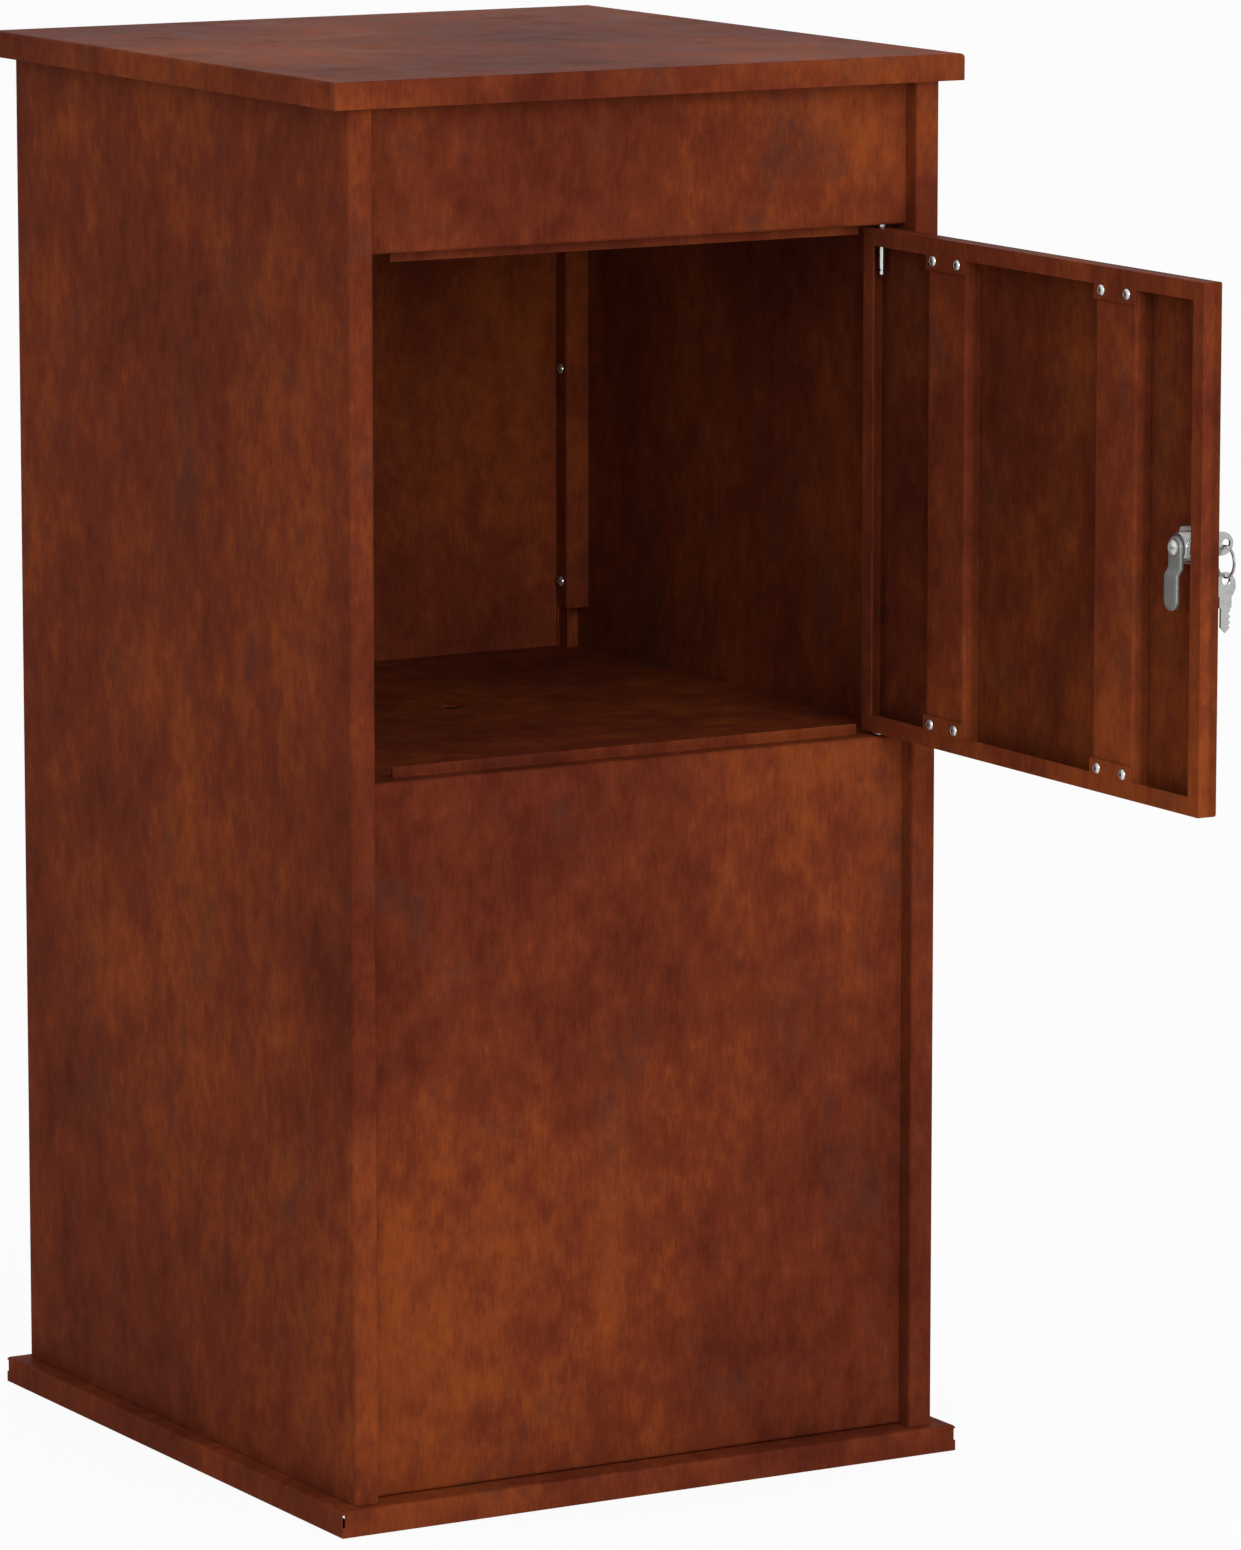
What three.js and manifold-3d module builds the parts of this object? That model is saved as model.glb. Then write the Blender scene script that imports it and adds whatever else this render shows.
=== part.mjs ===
// A free-standing parcel mailbox folded from sheet steel, with its door standing open.
// Millimetres, +Z up, the door in front (-Y). The origin is on the floor, under the middle of the
// base's rear foot lip.
import * as THREE from 'three';
import { mergeVertices } from 'three/addons/utils/BufferGeometryUtils.js';
import Module from 'manifold-3d';

const wasm = await Module();
wasm.setup();

// Cabinet sizes
const TRAY_WIDTH = 400;
const TRAY_DEPTH = 425;
const TOTAL_HEIGHT = 805;
const RIM_HEIGHT = 15;
const FOOT_LIP = 20;
const SIDE_OVERHANG = 12;
const FRONT_OVERHANG = 7;
const FLANGE_WIDTH = 15;
const REAR_RETURN = 13.5;
const PANEL_RECESS = 11;
const PANEL_END_FLANGE = 12;
const BACK_RECESS = 1;
const CORNER_RELIEF = 1.8;
const CORNER_RELIEF_HEIGHT = 7;

// Compartment sizes
const FASCIA_HEIGHT = 96;
const OPENING_HEIGHT = 291;
const STOP_LIP = 6;
const STOP_LIP_INSET = 23;
const SHELF_DROP = 1;
const SHELF_FLANGE = 15;
const SHELF_RELIEF_ABOVE = 24;
const SHELF_RELIEF_BELOW = 6;
const DRAIN_DIAMETER = 12;
const DRAIN_BEHIND_FRONT = 205;

// Door sizes
const DOOR_THICKNESS = 12.5;
const DOOR_END_GAP = 2;
const DOOR_FREE_GAP = 1;
const DOOR_FLANGE = 10;
const DOOR_OPEN_ANGLE = Math.PI / 2;
const HINGE_INSET = 9.5;
const HINGE_NOTCH_INSET = 11;
const HINGE_NOTCH_HEIGHT = 15;
const HINGE_NOTCH_WIDTH = 3.5;
const STIFFENER_WIDTH = 40;
const STIFFENER_INSET = 86;
const STIFFENER_TAB = 18;
const DOOR_RIVET_SPACING = 25;
const DOOR_RIVET_INSET = 13;

// Hinge pins
const PIN_DIAMETER = 4.5;
const PIN_HEAD_DIAMETER = 9;
const PIN_HEAD_HEIGHT = 1.5;
const TOP_PIN_REACH = 27;
const BOTTOM_PIN_REACH = 6;
const PIN_GROOVE_DEPTH = 0.7;
const PIN_GROOVE_WIDTH = 1.2;
const PIN_TIP = 2.5;

// Blind rivets
const RIVET_SHANK_DIAMETER = 3.2;
const RIVET_HEAD_DIAMETER = 6.5;
const RIVET_HEAD_HEIGHT = 1.3;
const RIVET_TAIL_DIAMETER = 5;
const RIVET_TAIL_HEIGHT = 2;
const RIVET_EYE_DIAMETER = 2;
const RIVET_EYE_DEPTH = 0.8;
const REAR_RIVETS_EACH = 3;
const REAR_RIVET_ABOVE_FLOOR = 67;
const REAR_RIVET_BELOW_SHELF = 90;
const REAR_RIVET_ABOVE_SHELF = 40;
const REAR_RIVET_BELOW_TOP = 88;

// Cam lock and keys
const LOCK_INSET = 22;
const LOCK_HEAD_DIAMETER = 22;
const LOCK_HEAD_HEIGHT = 2.5;
const LOCK_BARREL_DIAMETER = 16;
const LOCK_BARREL_LENGTH = 12.5;
const LOCK_PLUG_DIAMETER = 10.4;
const LOCK_NUT_WIDTH = 20;
const LOCK_NUT_HEIGHT = 4;
const CAM_WIDTH = 12;
const CAM_REACH = 34;
const CAM_THICKNESS = 2;
const CAM_CRANK_START = 11;
const CAM_CRANK_RUN = 4;
const CAM_CRANK_OFFSET = 2.5;
const CAM_SEAT_WIDTH = 7;
const SCREW_HEAD_DIAMETER = 8.4;
const SCREW_HEAD_HEIGHT = 2.4;
const SCREW_SHANK_DIAMETER = 3.2;
const SCREW_SHANK_LENGTH = 3.5;
const SCREW_SLOT_WIDTH = 1.2;
const SCREW_SLOT_DEPTH = 0.9;
const KEY_THICKNESS = 1.8;
const KEY_BOW_WIDTH = 13;
const KEY_BOW_LENGTH = 15;
const KEY_EYE_DIAMETER = 5;
const KEY_EYE_INSET = 4.5;
const KEY_NECK_WIDTH = 8;
const KEY_NECK_LENGTH = 4.5;
const KEY_BLADE_WIDTH = 6;
const KEY_BLADE_LENGTH = 13.5;
const KEY_BITE = 1.2;
const KEY_BITE_PITCH = 3.2;
const RING_DIAMETER = 17;
const RING_WIRE_DIAMETER = 1.4;

// Sheet, bends and clearances
const SHEET = 1;
const BEND_RADIUS = 1.5;
const SEAM = 0.3;
const STOP_CLEARANCE = 0.8;
const SWING_CLEARANCE = 0.5;
const CATCH_CLEARANCE = 1.3;
const CUT_MARGIN = 2;

// How finely round shapes are divided
const BEND_STEPS = 3;
const RIVET_SIDES = 10;
const PIN_SIDES = 14;
const LOCK_SIDES = 24;
const RING_WIRE_SIDES = 8;

// Places worked out from the sizes
const HALF_SHEET = SHEET / 2;
const bodyHalfWidth = TRAY_WIDTH / 2 - SIDE_OVERHANG;
const bodyHalfDepth = TRAY_DEPTH / 2 - FRONT_OVERHANG;
const innerHalfWidth = bodyHalfWidth - SHEET - SEAM;
const wallBottom = RIM_HEIGHT + SEAM;
const wallTop = TOTAL_HEIGHT - SHEET - SEAM;
const jambFace = bodyHalfWidth - FLANGE_WIDTH;
const panelHalfWidth = jambFace - SEAM;
const frontPlane = -bodyHalfDepth;
const panelFace = frontPlane + PANEL_RECESS;
const stopFace = panelFace + DOOR_THICKNESS + STOP_CLEARANCE;
const openingTop = TOTAL_HEIGHT - FASCIA_HEIGHT;
const openingBottom = openingTop - OPENING_HEIGHT;
const lipHalfWidth = panelHalfWidth - STOP_LIP_INSET;
const backFace = bodyHalfDepth - BACK_RECESS - SHEET;
const rearReturnEnd = bodyHalfDepth - REAR_RETURN;
const wrapLine = rearReturnEnd - BEND_RADIUS;
const foldStub = backFace - BEND_RADIUS - HALF_SHEET;
const shelfTop = openingBottom - SHELF_DROP;
const shelfBottom = shelfTop - SHELF_FLANGE;

const doorHalf = DOOR_THICKNESS / 2;
const doorBottom = openingBottom + DOOR_END_GAP;
const doorTop = openingTop - DOOR_END_GAP;
const doorMiddle = (doorBottom + doorTop) / 2;
const hingeGap = Math.hypot(HINGE_INSET, doorHalf) - HINGE_INSET + SWING_CLEARANCE;
const doorWidth = 2 * jambFace - hingeGap - DOOR_FREE_GAP;
const freeEdge = HINGE_INSET - doorWidth;
const hingeX = jambFace - hingeGap - HINGE_INSET;
const hingeY = panelFace + doorHalf;
const flangeBack = doorHalf - SHEET;
const sheetBack = SHEET - doorHalf;
const stiffenerCrest = flangeBack - SEAM;
const stiffenerCentres = [HINGE_INSET - STIFFENER_INSET, freeEdge + STIFFENER_INSET];

const rivetHole = RIVET_SHANK_DIAMETER + 2 * SEAM;
const pinHole = PIN_DIAMETER + 2 * SEAM;
const lockX = freeEdge + LOCK_INSET;
const lockFront = -doorHalf - SEAM - LOCK_HEAD_HEIGHT;
const lockBack = -doorHalf + LOCK_BARREL_LENGTH;
const camFront = lockBack + SEAM;
const camBack = camFront + CAM_THICKNESS;
const jambEnd = hingeY + camFront + CAM_CRANK_OFFSET - CATCH_CLEARANCE;
const keyLength = KEY_BOW_LENGTH - KEY_EYE_INSET + KEY_NECK_LENGTH;
const keyEyeY = lockFront - SEAM - keyLength;
const ringHang = (KEY_EYE_DIAMETER - RING_WIRE_DIAMETER) / 2 - SEAM;

const paint = () => new THREE.MeshStandardMaterial({ color: 0x6b2c18, roughness: 0.5, metalness: 0 });
const zinc = () => new THREE.MeshStandardMaterial({ color: 0xc9c8c4, roughness: 0.25, metalness: 1 });
const nickel = () => new THREE.MeshStandardMaterial({ color: 0xb8b2a4, roughness: 0.3, metalness: 1 });

// A closed geometry as a solid that can be joined and cut.
function solid(geometry) {
  geometry.deleteAttribute('normal');
  geometry.deleteAttribute('uv');
  const merged = mergeVertices(geometry);
  const vertProperties = new Float32Array(merged.attributes.position.array);
  const triVerts = new Uint32Array(merged.index.array);
  return new wasm.Manifold(new wasm.Mesh({ numProp: 3, vertProperties, triVerts }));
}

function namedMesh(name, body, material) {
  const { vertProperties, triVerts } = body.getMesh();
  const geometry = new THREE.BufferGeometry();
  geometry.setAttribute('position', new THREE.BufferAttribute(vertProperties, 3));
  geometry.setIndex(new THREE.BufferAttribute(triVerts, 1));
  const mesh = new THREE.Mesh(geometry.toNonIndexed(), material);
  mesh.geometry.computeVertexNormals();
  mesh.name = name;
  return mesh;
}

function block([x0, x1], [y0, y1], [z0, z1]) {
  const geometry = new THREE.BoxGeometry(x1 - x0, y1 - y0, z1 - z0);
  geometry.translate((x0 + x1) / 2, (y0 + y1) / 2, (z0 + z1) / 2);
  return solid(geometry);
}

// A turned piece about the Y axis from [radius, y] points that run from low y to high y.
function turned(points, sides) {
  const profile = points.map(([radius, y]) => new THREE.Vector2(radius, y));
  return solid(new THREE.LatheGeometry(profile, sides));
}

function rod(diameter, from, to, sides) {
  const radius = diameter / 2;
  return turned([[0, from], [radius, from], [radius, to], [0, to]], sides);
}

// The outline of a sheet of one thickness that follows a line and bends with one radius.
function foldedOutline(line, thickness) {
  const left = [];
  const right = [];
  const points = line.map(([x, y]) => new THREE.Vector2(x, y));
  const addPair = (point, direction) => {
    const side = new THREE.Vector2(-direction.y, direction.x).multiplyScalar(thickness / 2);
    left.push(point.clone().add(side));
    right.push(point.clone().sub(side));
  };
  const heading = (i) => points[i + 1].clone().sub(points[i]).normalize();
  addPair(points[0], heading(0));
  for (let i = 1; i < points.length - 1; i += 1) {
    const into = heading(i - 1);
    const turn = Math.atan2(into.cross(heading(i)), into.dot(heading(i)));
    const start = points[i].clone().addScaledVector(into, -BEND_RADIUS * Math.tan(Math.abs(turn) / 2));
    const side = new THREE.Vector2(-into.y, into.x).multiplyScalar(BEND_RADIUS * Math.sign(turn));
    const centre = start.clone().add(side);
    for (let step = 0; step <= BEND_STEPS; step += 1) {
      const angle = (turn * step) / BEND_STEPS;
      const origin = new THREE.Vector2();
      const point = side.clone().negate().rotateAround(origin, angle).add(centre);
      addPair(point, into.clone().rotateAround(origin, angle));
    }
  }
  addPair(points[points.length - 1], heading(points.length - 2));
  return new THREE.Shape([...right, ...left.reverse()]);
}

// A folded sheet that stands along Z, drawn in plan.
function standingSheet(line, bottom, top) {
  const shape = foldedOutline(line, SHEET);
  const geometry = new THREE.ExtrudeGeometry(shape, { depth: top - bottom, bevelEnabled: false });
  return solid(geometry.translate(0, 0, bottom));
}

// A folded strip that runs along X, drawn as [y, z] points.
function crosswiseSheet(line, halfWidth, thickness) {
  const shape = foldedOutline(line, thickness);
  const geometry = new THREE.ExtrudeGeometry(shape, { depth: 2 * halfWidth, bevelEnabled: false });
  geometry.translate(0, 0, -halfWidth);
  const along = new THREE.Matrix4();
  along.makeBasis(new THREE.Vector3(0, 1, 0), new THREE.Vector3(0, 0, 1), new THREE.Vector3(1, 0, 0));
  return solid(geometry.applyMatrix4(along));
}

// A block centred on X and Y whose top face is at z = 0, with its four top edges rounded.
function roundTopBlock(width, depth, height, radius) {
  const shape = new THREE.Shape();
  shape.moveTo(radius - width / 2, radius - depth / 2);
  shape.lineTo(width / 2 - radius, radius - depth / 2);
  shape.lineTo(width / 2 - radius, depth / 2 - radius);
  shape.lineTo(radius - width / 2, depth / 2 - radius);
  shape.closePath();
  const geometry = new THREE.ExtrudeGeometry(shape, {
    depth: height,
    bevelThickness: radius,
    bevelSize: radius,
    bevelSegments: BEND_STEPS,
  });
  geometry.translate(0, 0, -height - radius);
  const reach = Math.max(width, depth);
  const below = block([-reach, reach], [-reach, reach], [-height - 3 * radius, -height]);
  return solid(geometry).subtract(below);
}

// A sheet folded down along all four edges, top face at z = 0.
function pan(width, depth, height) {
  const outer = roundTopBlock(width, depth, height, BEND_RADIUS + HALF_SHEET);
  const innerHeight = height - SHEET + CUT_MARGIN;
  const inner = roundTopBlock(width - 2 * SHEET, depth - 2 * SHEET, innerHeight, BEND_RADIUS - HALF_SHEET);
  return outer.subtract(inner.translate([0, 0, -SHEET]));
}

function makeRoofCap() {
  return pan(TRAY_WIDTH, TRAY_DEPTH, RIM_HEIGHT).translate([0, 0, TOTAL_HEIGHT]);
}

// The base is the same pan with foot lips turned in under its rims and small reliefs at its corners.
function makeBaseTray() {
  const halfWidth = TRAY_WIDTH / 2;
  const halfDepth = TRAY_DEPTH / 2;
  const openWidth = halfWidth - FOOT_LIP;
  const openDepth = halfDepth - FOOT_LIP;
  const foot = block([-halfWidth, halfWidth], [-halfDepth, halfDepth], [0, SHEET]);
  const open = block([-openWidth, openWidth], [-openDepth, openDepth], [-CUT_MARGIN, SHEET + CUT_MARGIN]);
  let base = pan(TRAY_WIDTH, TRAY_DEPTH, RIM_HEIGHT).translate([0, 0, RIM_HEIGHT]);
  base = base.add(foot.subtract(open));
  const reliefTop = RIM_HEIGHT - BEND_RADIUS - HALF_SHEET;
  const reach = [-CORNER_RELIEF, CORNER_RELIEF];
  const relief = block(reach, reach, [reliefTop - CORNER_RELIEF_HEIGHT, reliefTop]);
  for (const x of [-halfWidth, halfWidth]) {
    for (const y of [-halfDepth, halfDepth]) {
      base = base.subtract(relief.translate([x, y, 0]));
    }
  }
  return base;
}

// One row of rear rivets under the shelf and one over it.
function rearRivetHeights() {
  const rows = [
    [REAR_RIVET_ABOVE_FLOOR, shelfTop - REAR_RIVET_BELOW_SHELF],
    [shelfTop + REAR_RIVET_ABOVE_SHELF, TOTAL_HEIGHT - REAR_RIVET_BELOW_TOP],
  ];
  const steps = REAR_RIVETS_EACH - 1;
  const spread = ([low, high]) => {
    return Array.from({ length: REAR_RIVETS_EACH }, (_, i) => low + ((high - low) * i) / steps);
  };
  return rows.flatMap(spread);
}

const rearRivetY = (wrapLine + backFace) / 2;

// Holes along X for the rear rivets on one side, where side is -1 or 1.
function cutRearRivetHoles(body, side) {
  const reach = 2 * SHEET + CUT_MARGIN;
  const drill = rod(rivetHole, -reach, reach, RIVET_SIDES).rotate([0, 0, 90]);
  const x = side * jambFace;
  return rearRivetHeights().reduce((cut, z) => cut.subtract(drill.translate([x, rearRivetY, z])), body);
}

// Wall, front flange and jamb, rear flange and return, as one folded sheet.
function makeSidePanel(side) {
  const jamb = side * (jambFace + HALF_SHEET);
  const wall = side * (bodyHalfWidth - HALF_SHEET);
  const front = frontPlane + HALF_SHEET;
  const rear = bodyHalfDepth - HALF_SHEET;
  const line = [
    [jamb, jambEnd],
    [jamb, front],
    [wall, front],
    [wall, rear],
    [jamb, rear],
    [jamb, rearReturnEnd],
  ];
  const sheet = standingSheet(side > 0 ? line : line.reverse(), wallBottom, wallTop);
  return cutRearRivetHoles(sheet, side);
}

// The back panel's edges fold forward along the side panels' returns, then outward in front of them.
// Both folds are cut away where the shelf passes, all but the bend that closes the corner.
function makeBackPanel() {
  const edge = panelHalfWidth - HALF_SHEET;
  const plate = backFace + HALF_SHEET;
  const line = [
    [-innerHalfWidth, wrapLine],
    [-edge, wrapLine],
    [-edge, plate],
    [edge, plate],
    [edge, wrapLine],
    [innerHalfWidth, wrapLine],
  ];
  let panel = standingSheet(line, wallBottom, wallTop);
  const reliefZ = [shelfBottom - SHELF_RELIEF_BELOW, shelfTop + SHELF_RELIEF_ABOVE];
  const reliefY = [wrapLine - CUT_MARGIN, foldStub];
  const inside = edge - HALF_SHEET - BEND_RADIUS;
  for (const side of [-1, 1]) {
    const reliefX = [side * inside, side * bodyHalfWidth].sort((a, b) => a - b);
    panel = cutRearRivetHoles(panel.subtract(block(reliefX, reliefY, reliefZ)), side);
  }
  return panel;
}

// Flanges at the two ends of a front panel, lying along the jambs.
function addEndFlanges(panel, bottom, top) {
  const depth = [panelFace + HALF_SHEET, panelFace + PANEL_END_FLANGE];
  const left = block([-panelHalfWidth, SHEET - panelHalfWidth], depth, [bottom, top]);
  const right = block([panelHalfWidth - SHEET, panelHalfWidth], depth, [bottom, top]);
  return panel.add(left).add(right);
}

function cutLipEnds(panel, lipZ) {
  const depth = [stopFace - BEND_RADIUS, stopFace + SHEET + CUT_MARGIN];
  const left = block([-panelHalfWidth - CUT_MARGIN, -lipHalfWidth], depth, lipZ);
  const right = block([lipHalfWidth, panelHalfWidth + CUT_MARGIN], depth, lipZ);
  return panel.subtract(left).subtract(right);
}

function cutPinHole(body, x, y, z) {
  const drill = rod(pinHole, -CUT_MARGIN, CUT_MARGIN, PIN_SIDES).rotate([90, 0, 0]);
  return body.subtract(drill.translate([x, y, z]));
}

// The fascia over the door folds back along its lower edge and ends in a stop lip.
function makeFrontFascia() {
  const fold = openingTop + HALF_SHEET;
  const line = [
    [panelFace + HALF_SHEET, wallTop],
    [panelFace + HALF_SHEET, fold],
    [stopFace + HALF_SHEET, fold],
    [stopFace + HALF_SHEET, openingTop - STOP_LIP],
  ];
  const strip = crosswiseSheet(line, panelHalfWidth, SHEET);
  const lipZ = [openingTop - STOP_LIP - CUT_MARGIN, openingTop];
  const fascia = addEndFlanges(cutLipEnds(strip, lipZ), fold, wallTop);
  return cutPinHole(fascia, hingeX, hingeY, fold);
}

// The panel under the door has the same fold and lip along its top, and a foot fold on the base.
function makeLowerPanel() {
  const fold = openingBottom - HALF_SHEET;
  const foot = wallBottom + HALF_SHEET;
  const line = [
    [panelFace + PANEL_END_FLANGE, foot],
    [panelFace + HALF_SHEET, foot],
    [panelFace + HALF_SHEET, fold],
    [stopFace + HALF_SHEET, fold],
    [stopFace + HALF_SHEET, openingBottom + STOP_LIP],
  ];
  const strip = crosswiseSheet(line, panelHalfWidth, SHEET);
  const lipZ = [openingBottom, openingBottom + STOP_LIP + CUT_MARGIN];
  const panel = addEndFlanges(cutLipEnds(strip, lipZ), foot, fold);
  return cutPinHole(panel, hingeX, hingeY, fold);
}

// The shelf is the floor of the door's compartment, cut around the side panels' rear returns and
// the back panel's bends.
function makeShelf() {
  const front = jambEnd + SEAM;
  const back = backFace - SEAM;
  const drainZ = shelfTop - HALF_SHEET;
  const drain = rod(DRAIN_DIAMETER, -CUT_MARGIN, CUT_MARGIN, LOCK_SIDES).rotate([90, 0, 0]);
  const middle = (front + back) / 2;
  const z = [shelfBottom - CUT_MARGIN, shelfTop + CUT_MARGIN];
  const cutEnds = (body, x, y) => {
    const right = block([x, bodyHalfWidth], [y, bodyHalfDepth], z);
    return body.subtract(right).subtract(right.mirror([1, 0, 0]));
  };
  let shelf = pan(2 * innerHalfWidth, back - front, SHELF_FLANGE).translate([0, middle, shelfTop]);
  shelf = cutEnds(shelf, panelHalfWidth, rearReturnEnd - SEAM);
  shelf = cutEnds(shelf, panelHalfWidth - SHEET - 2 * SEAM, foldStub - SEAM);
  return shelf.subtract(drain.translate([0, front + DRAIN_BEHIND_FRONT, drainZ]));
}

// A blind rivet along Y whose head seats on y = 0 and whose tail grips below -grip.
function makeRivet(grip) {
  const shank = RIVET_SHANK_DIAMETER / 2;
  const head = RIVET_HEAD_DIAMETER / 2;
  const tail = RIVET_TAIL_DIAMETER / 2;
  const eye = RIVET_EYE_DIAMETER / 2;
  const tailTop = -grip - SEAM;
  const headTop = SEAM + RIVET_HEAD_HEIGHT;
  const points = [
    [0, tailTop - RIVET_TAIL_HEIGHT],
    [tail, tailTop - RIVET_TAIL_HEIGHT],
    [tail, tailTop],
    [shank, tailTop],
    [shank, SEAM],
    [head, SEAM],
    [(head + eye) / 2, headTop - RIVET_HEAD_HEIGHT / 4],
    [eye, headTop],
    [eye, headTop - RIVET_EYE_DEPTH],
    [0, headTop - RIVET_EYE_DEPTH],
  ];
  return turned(points, RIVET_SIDES);
}

// The door is a shallow pan with its rims turned in again, seen closed: outer face towards -Y,
// hinge axis on Z through the origin, free edge at low x.
function makeDoorShell() {
  const height = doorTop - doorBottom;
  const centreX = HINGE_INSET - doorWidth / 2;
  const flangeY = [flangeBack, doorHalf];
  const x = [freeEdge, HINGE_INSET];
  const z = [doorBottom, doorTop];
  const inner = ([low, high]) => [low + DOOR_FLANGE, high - DOOR_FLANGE];
  const window = block(inner(x), [flangeBack - CUT_MARGIN, doorHalf + CUT_MARGIN], inner(z));
  let shell = pan(doorWidth, height, DOOR_THICKNESS).rotate([90, 0, 0]);
  shell = shell.translate([centreX, -doorHalf, doorMiddle]);
  shell = shell.add(block(x, flangeY, z).subtract(window));
  for (const centre of stiffenerCentres) {
    const tabX = [centre - STIFFENER_WIDTH / 2, centre + STIFFENER_WIDTH / 2];
    const overlap = DOOR_FLANGE / 2;
    shell = shell.add(block(tabX, flangeY, [doorTop - STIFFENER_TAB, doorTop - overlap]));
    shell = shell.add(block(tabX, flangeY, [doorBottom + overlap, doorBottom + STIFFENER_TAB]));
  }
  const notchX = [HINGE_INSET - SHEET - HALF_SHEET, HINGE_INSET + CUT_MARGIN];
  const notchY = [flangeBack - HINGE_NOTCH_WIDTH, flangeBack];
  const low = doorBottom + HINGE_NOTCH_INSET;
  const high = doorTop - HINGE_NOTCH_INSET;
  shell = shell.subtract(block(notchX, notchY, [low, low + HINGE_NOTCH_HEIGHT]));
  shell = shell.subtract(block(notchX, notchY, [high - HINGE_NOTCH_HEIGHT, high]));
  shell = cutPinHole(shell, 0, 0, doorBottom + HALF_SHEET);
  shell = cutPinHole(shell, 0, 0, doorTop - HALF_SHEET);
  const lockHole = rod(LOCK_BARREL_DIAMETER + 2 * SEAM, -CUT_MARGIN, CUT_MARGIN, LOCK_SIDES);
  return cutDoorRivetHoles(shell.subtract(lockHole.translate([lockX, -doorHalf, doorMiddle])));
}

function doorRivetPlaces() {
  const places = [];
  for (const [edge, z] of [['upper', doorTop - DOOR_RIVET_INSET], ['lower', doorBottom + DOOR_RIVET_INSET]]) {
    for (const [i, centre] of stiffenerCentres.entries()) {
      for (const side of [1, -1]) {
        const name = `door_rivet_${edge}_${2 * i + (side > 0 ? 1 : 2)}`;
        places.push({ name, x: centre + (side * DOOR_RIVET_SPACING) / 2, z });
      }
    }
  }
  return places;
}

function cutDoorRivetHoles(body) {
  const drill = rod(rivetHole, stiffenerCrest - SHEET - CUT_MARGIN, doorHalf + CUT_MARGIN, RIVET_SIDES);
  return doorRivetPlaces().reduce((cut, { x, z }) => cut.subtract(drill.translate([x, 0, z])), body);
}

// A channel between the door's skin and the tabs on its flanges.
function makeStiffener(centre) {
  const leg = STIFFENER_WIDTH / 2 - HALF_SHEET;
  const crest = stiffenerCrest - HALF_SHEET;
  const base = sheetBack + SEAM;
  const line = [
    [centre + leg, base],
    [centre + leg, crest],
    [centre - leg, crest],
    [centre - leg, base],
  ];
  const inset = SHEET + SEAM;
  return cutDoorRivetHoles(standingSheet(line, doorBottom + inset, doorTop - inset));
}

// The top pin drops through the fascia's fold into the door, held up by its head.
function makeTopPin() {
  const radius = PIN_DIAMETER / 2;
  const neck = radius - PIN_GROOVE_DEPTH;
  const head = PIN_HEAD_DIAMETER / 2;
  const tip = doorTop - TOP_PIN_REACH;
  const groove = tip + PIN_TIP;
  const seat = openingTop + SHEET + SEAM;
  const points = [
    [0, tip],
    [neck, tip],
    [radius, tip + PIN_TIP / 2],
    [radius, groove],
    [neck, groove],
    [neck, groove + PIN_GROOVE_WIDTH],
    [radius, groove + PIN_GROOVE_WIDTH],
    [radius, seat],
    [head, seat],
    [head, seat + PIN_HEAD_HEIGHT],
    [0, seat + PIN_HEAD_HEIGHT],
  ];
  return turned(points, PIN_SIDES).rotate([90, 0, 0]);
}

// The bottom pin is staked in the lower panel's fold, and its collar carries the door.
function makeBottomPin() {
  const radius = PIN_DIAMETER / 2;
  const head = PIN_HEAD_DIAMETER / 2;
  const under = openingBottom - SHEET - SEAM;
  const tip = doorBottom + BOTTOM_PIN_REACH;
  const points = [
    [0, under - PIN_HEAD_HEIGHT],
    [head, under - PIN_HEAD_HEIGHT],
    [head, under],
    [radius, under],
    [radius, openingBottom + SEAM],
    [head, openingBottom + SEAM],
    [head, doorBottom - SEAM],
    [radius, doorBottom - SEAM],
    [radius, tip - PIN_TIP / 2],
    [radius - PIN_GROOVE_DEPTH, tip],
    [0, tip],
  ];
  return turned(points, PIN_SIDES).rotate([90, 0, 0]);
}

// Lock pieces are drawn about the lock's own axis, along Y, with the door's closed front at low y.
function makeLockHousing() {
  const bore = LOCK_PLUG_DIAMETER / 2 + SEAM;
  const head = LOCK_HEAD_DIAMETER / 2;
  const barrel = LOCK_BARREL_DIAMETER / 2;
  const shoulder = lockFront + LOCK_HEAD_HEIGHT;
  const points = [
    [bore, lockFront],
    [head, lockFront],
    [head, shoulder],
    [barrel, shoulder],
    [barrel, lockBack],
    [bore, lockBack],
    [bore, lockFront],
  ];
  return turned(points, LOCK_SIDES);
}

function makeLockNut() {
  const half = LOCK_NUT_WIDTH / 2;
  const y = [sheetBack + SEAM, sheetBack + SEAM + LOCK_NUT_HEIGHT];
  const bore = rod(LOCK_BARREL_DIAMETER + 2 * SEAM, y[0] - CUT_MARGIN, y[1] + CUT_MARGIN, LOCK_SIDES);
  return block([-half, half], y, [-half, half]).subtract(bore);
}

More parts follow.
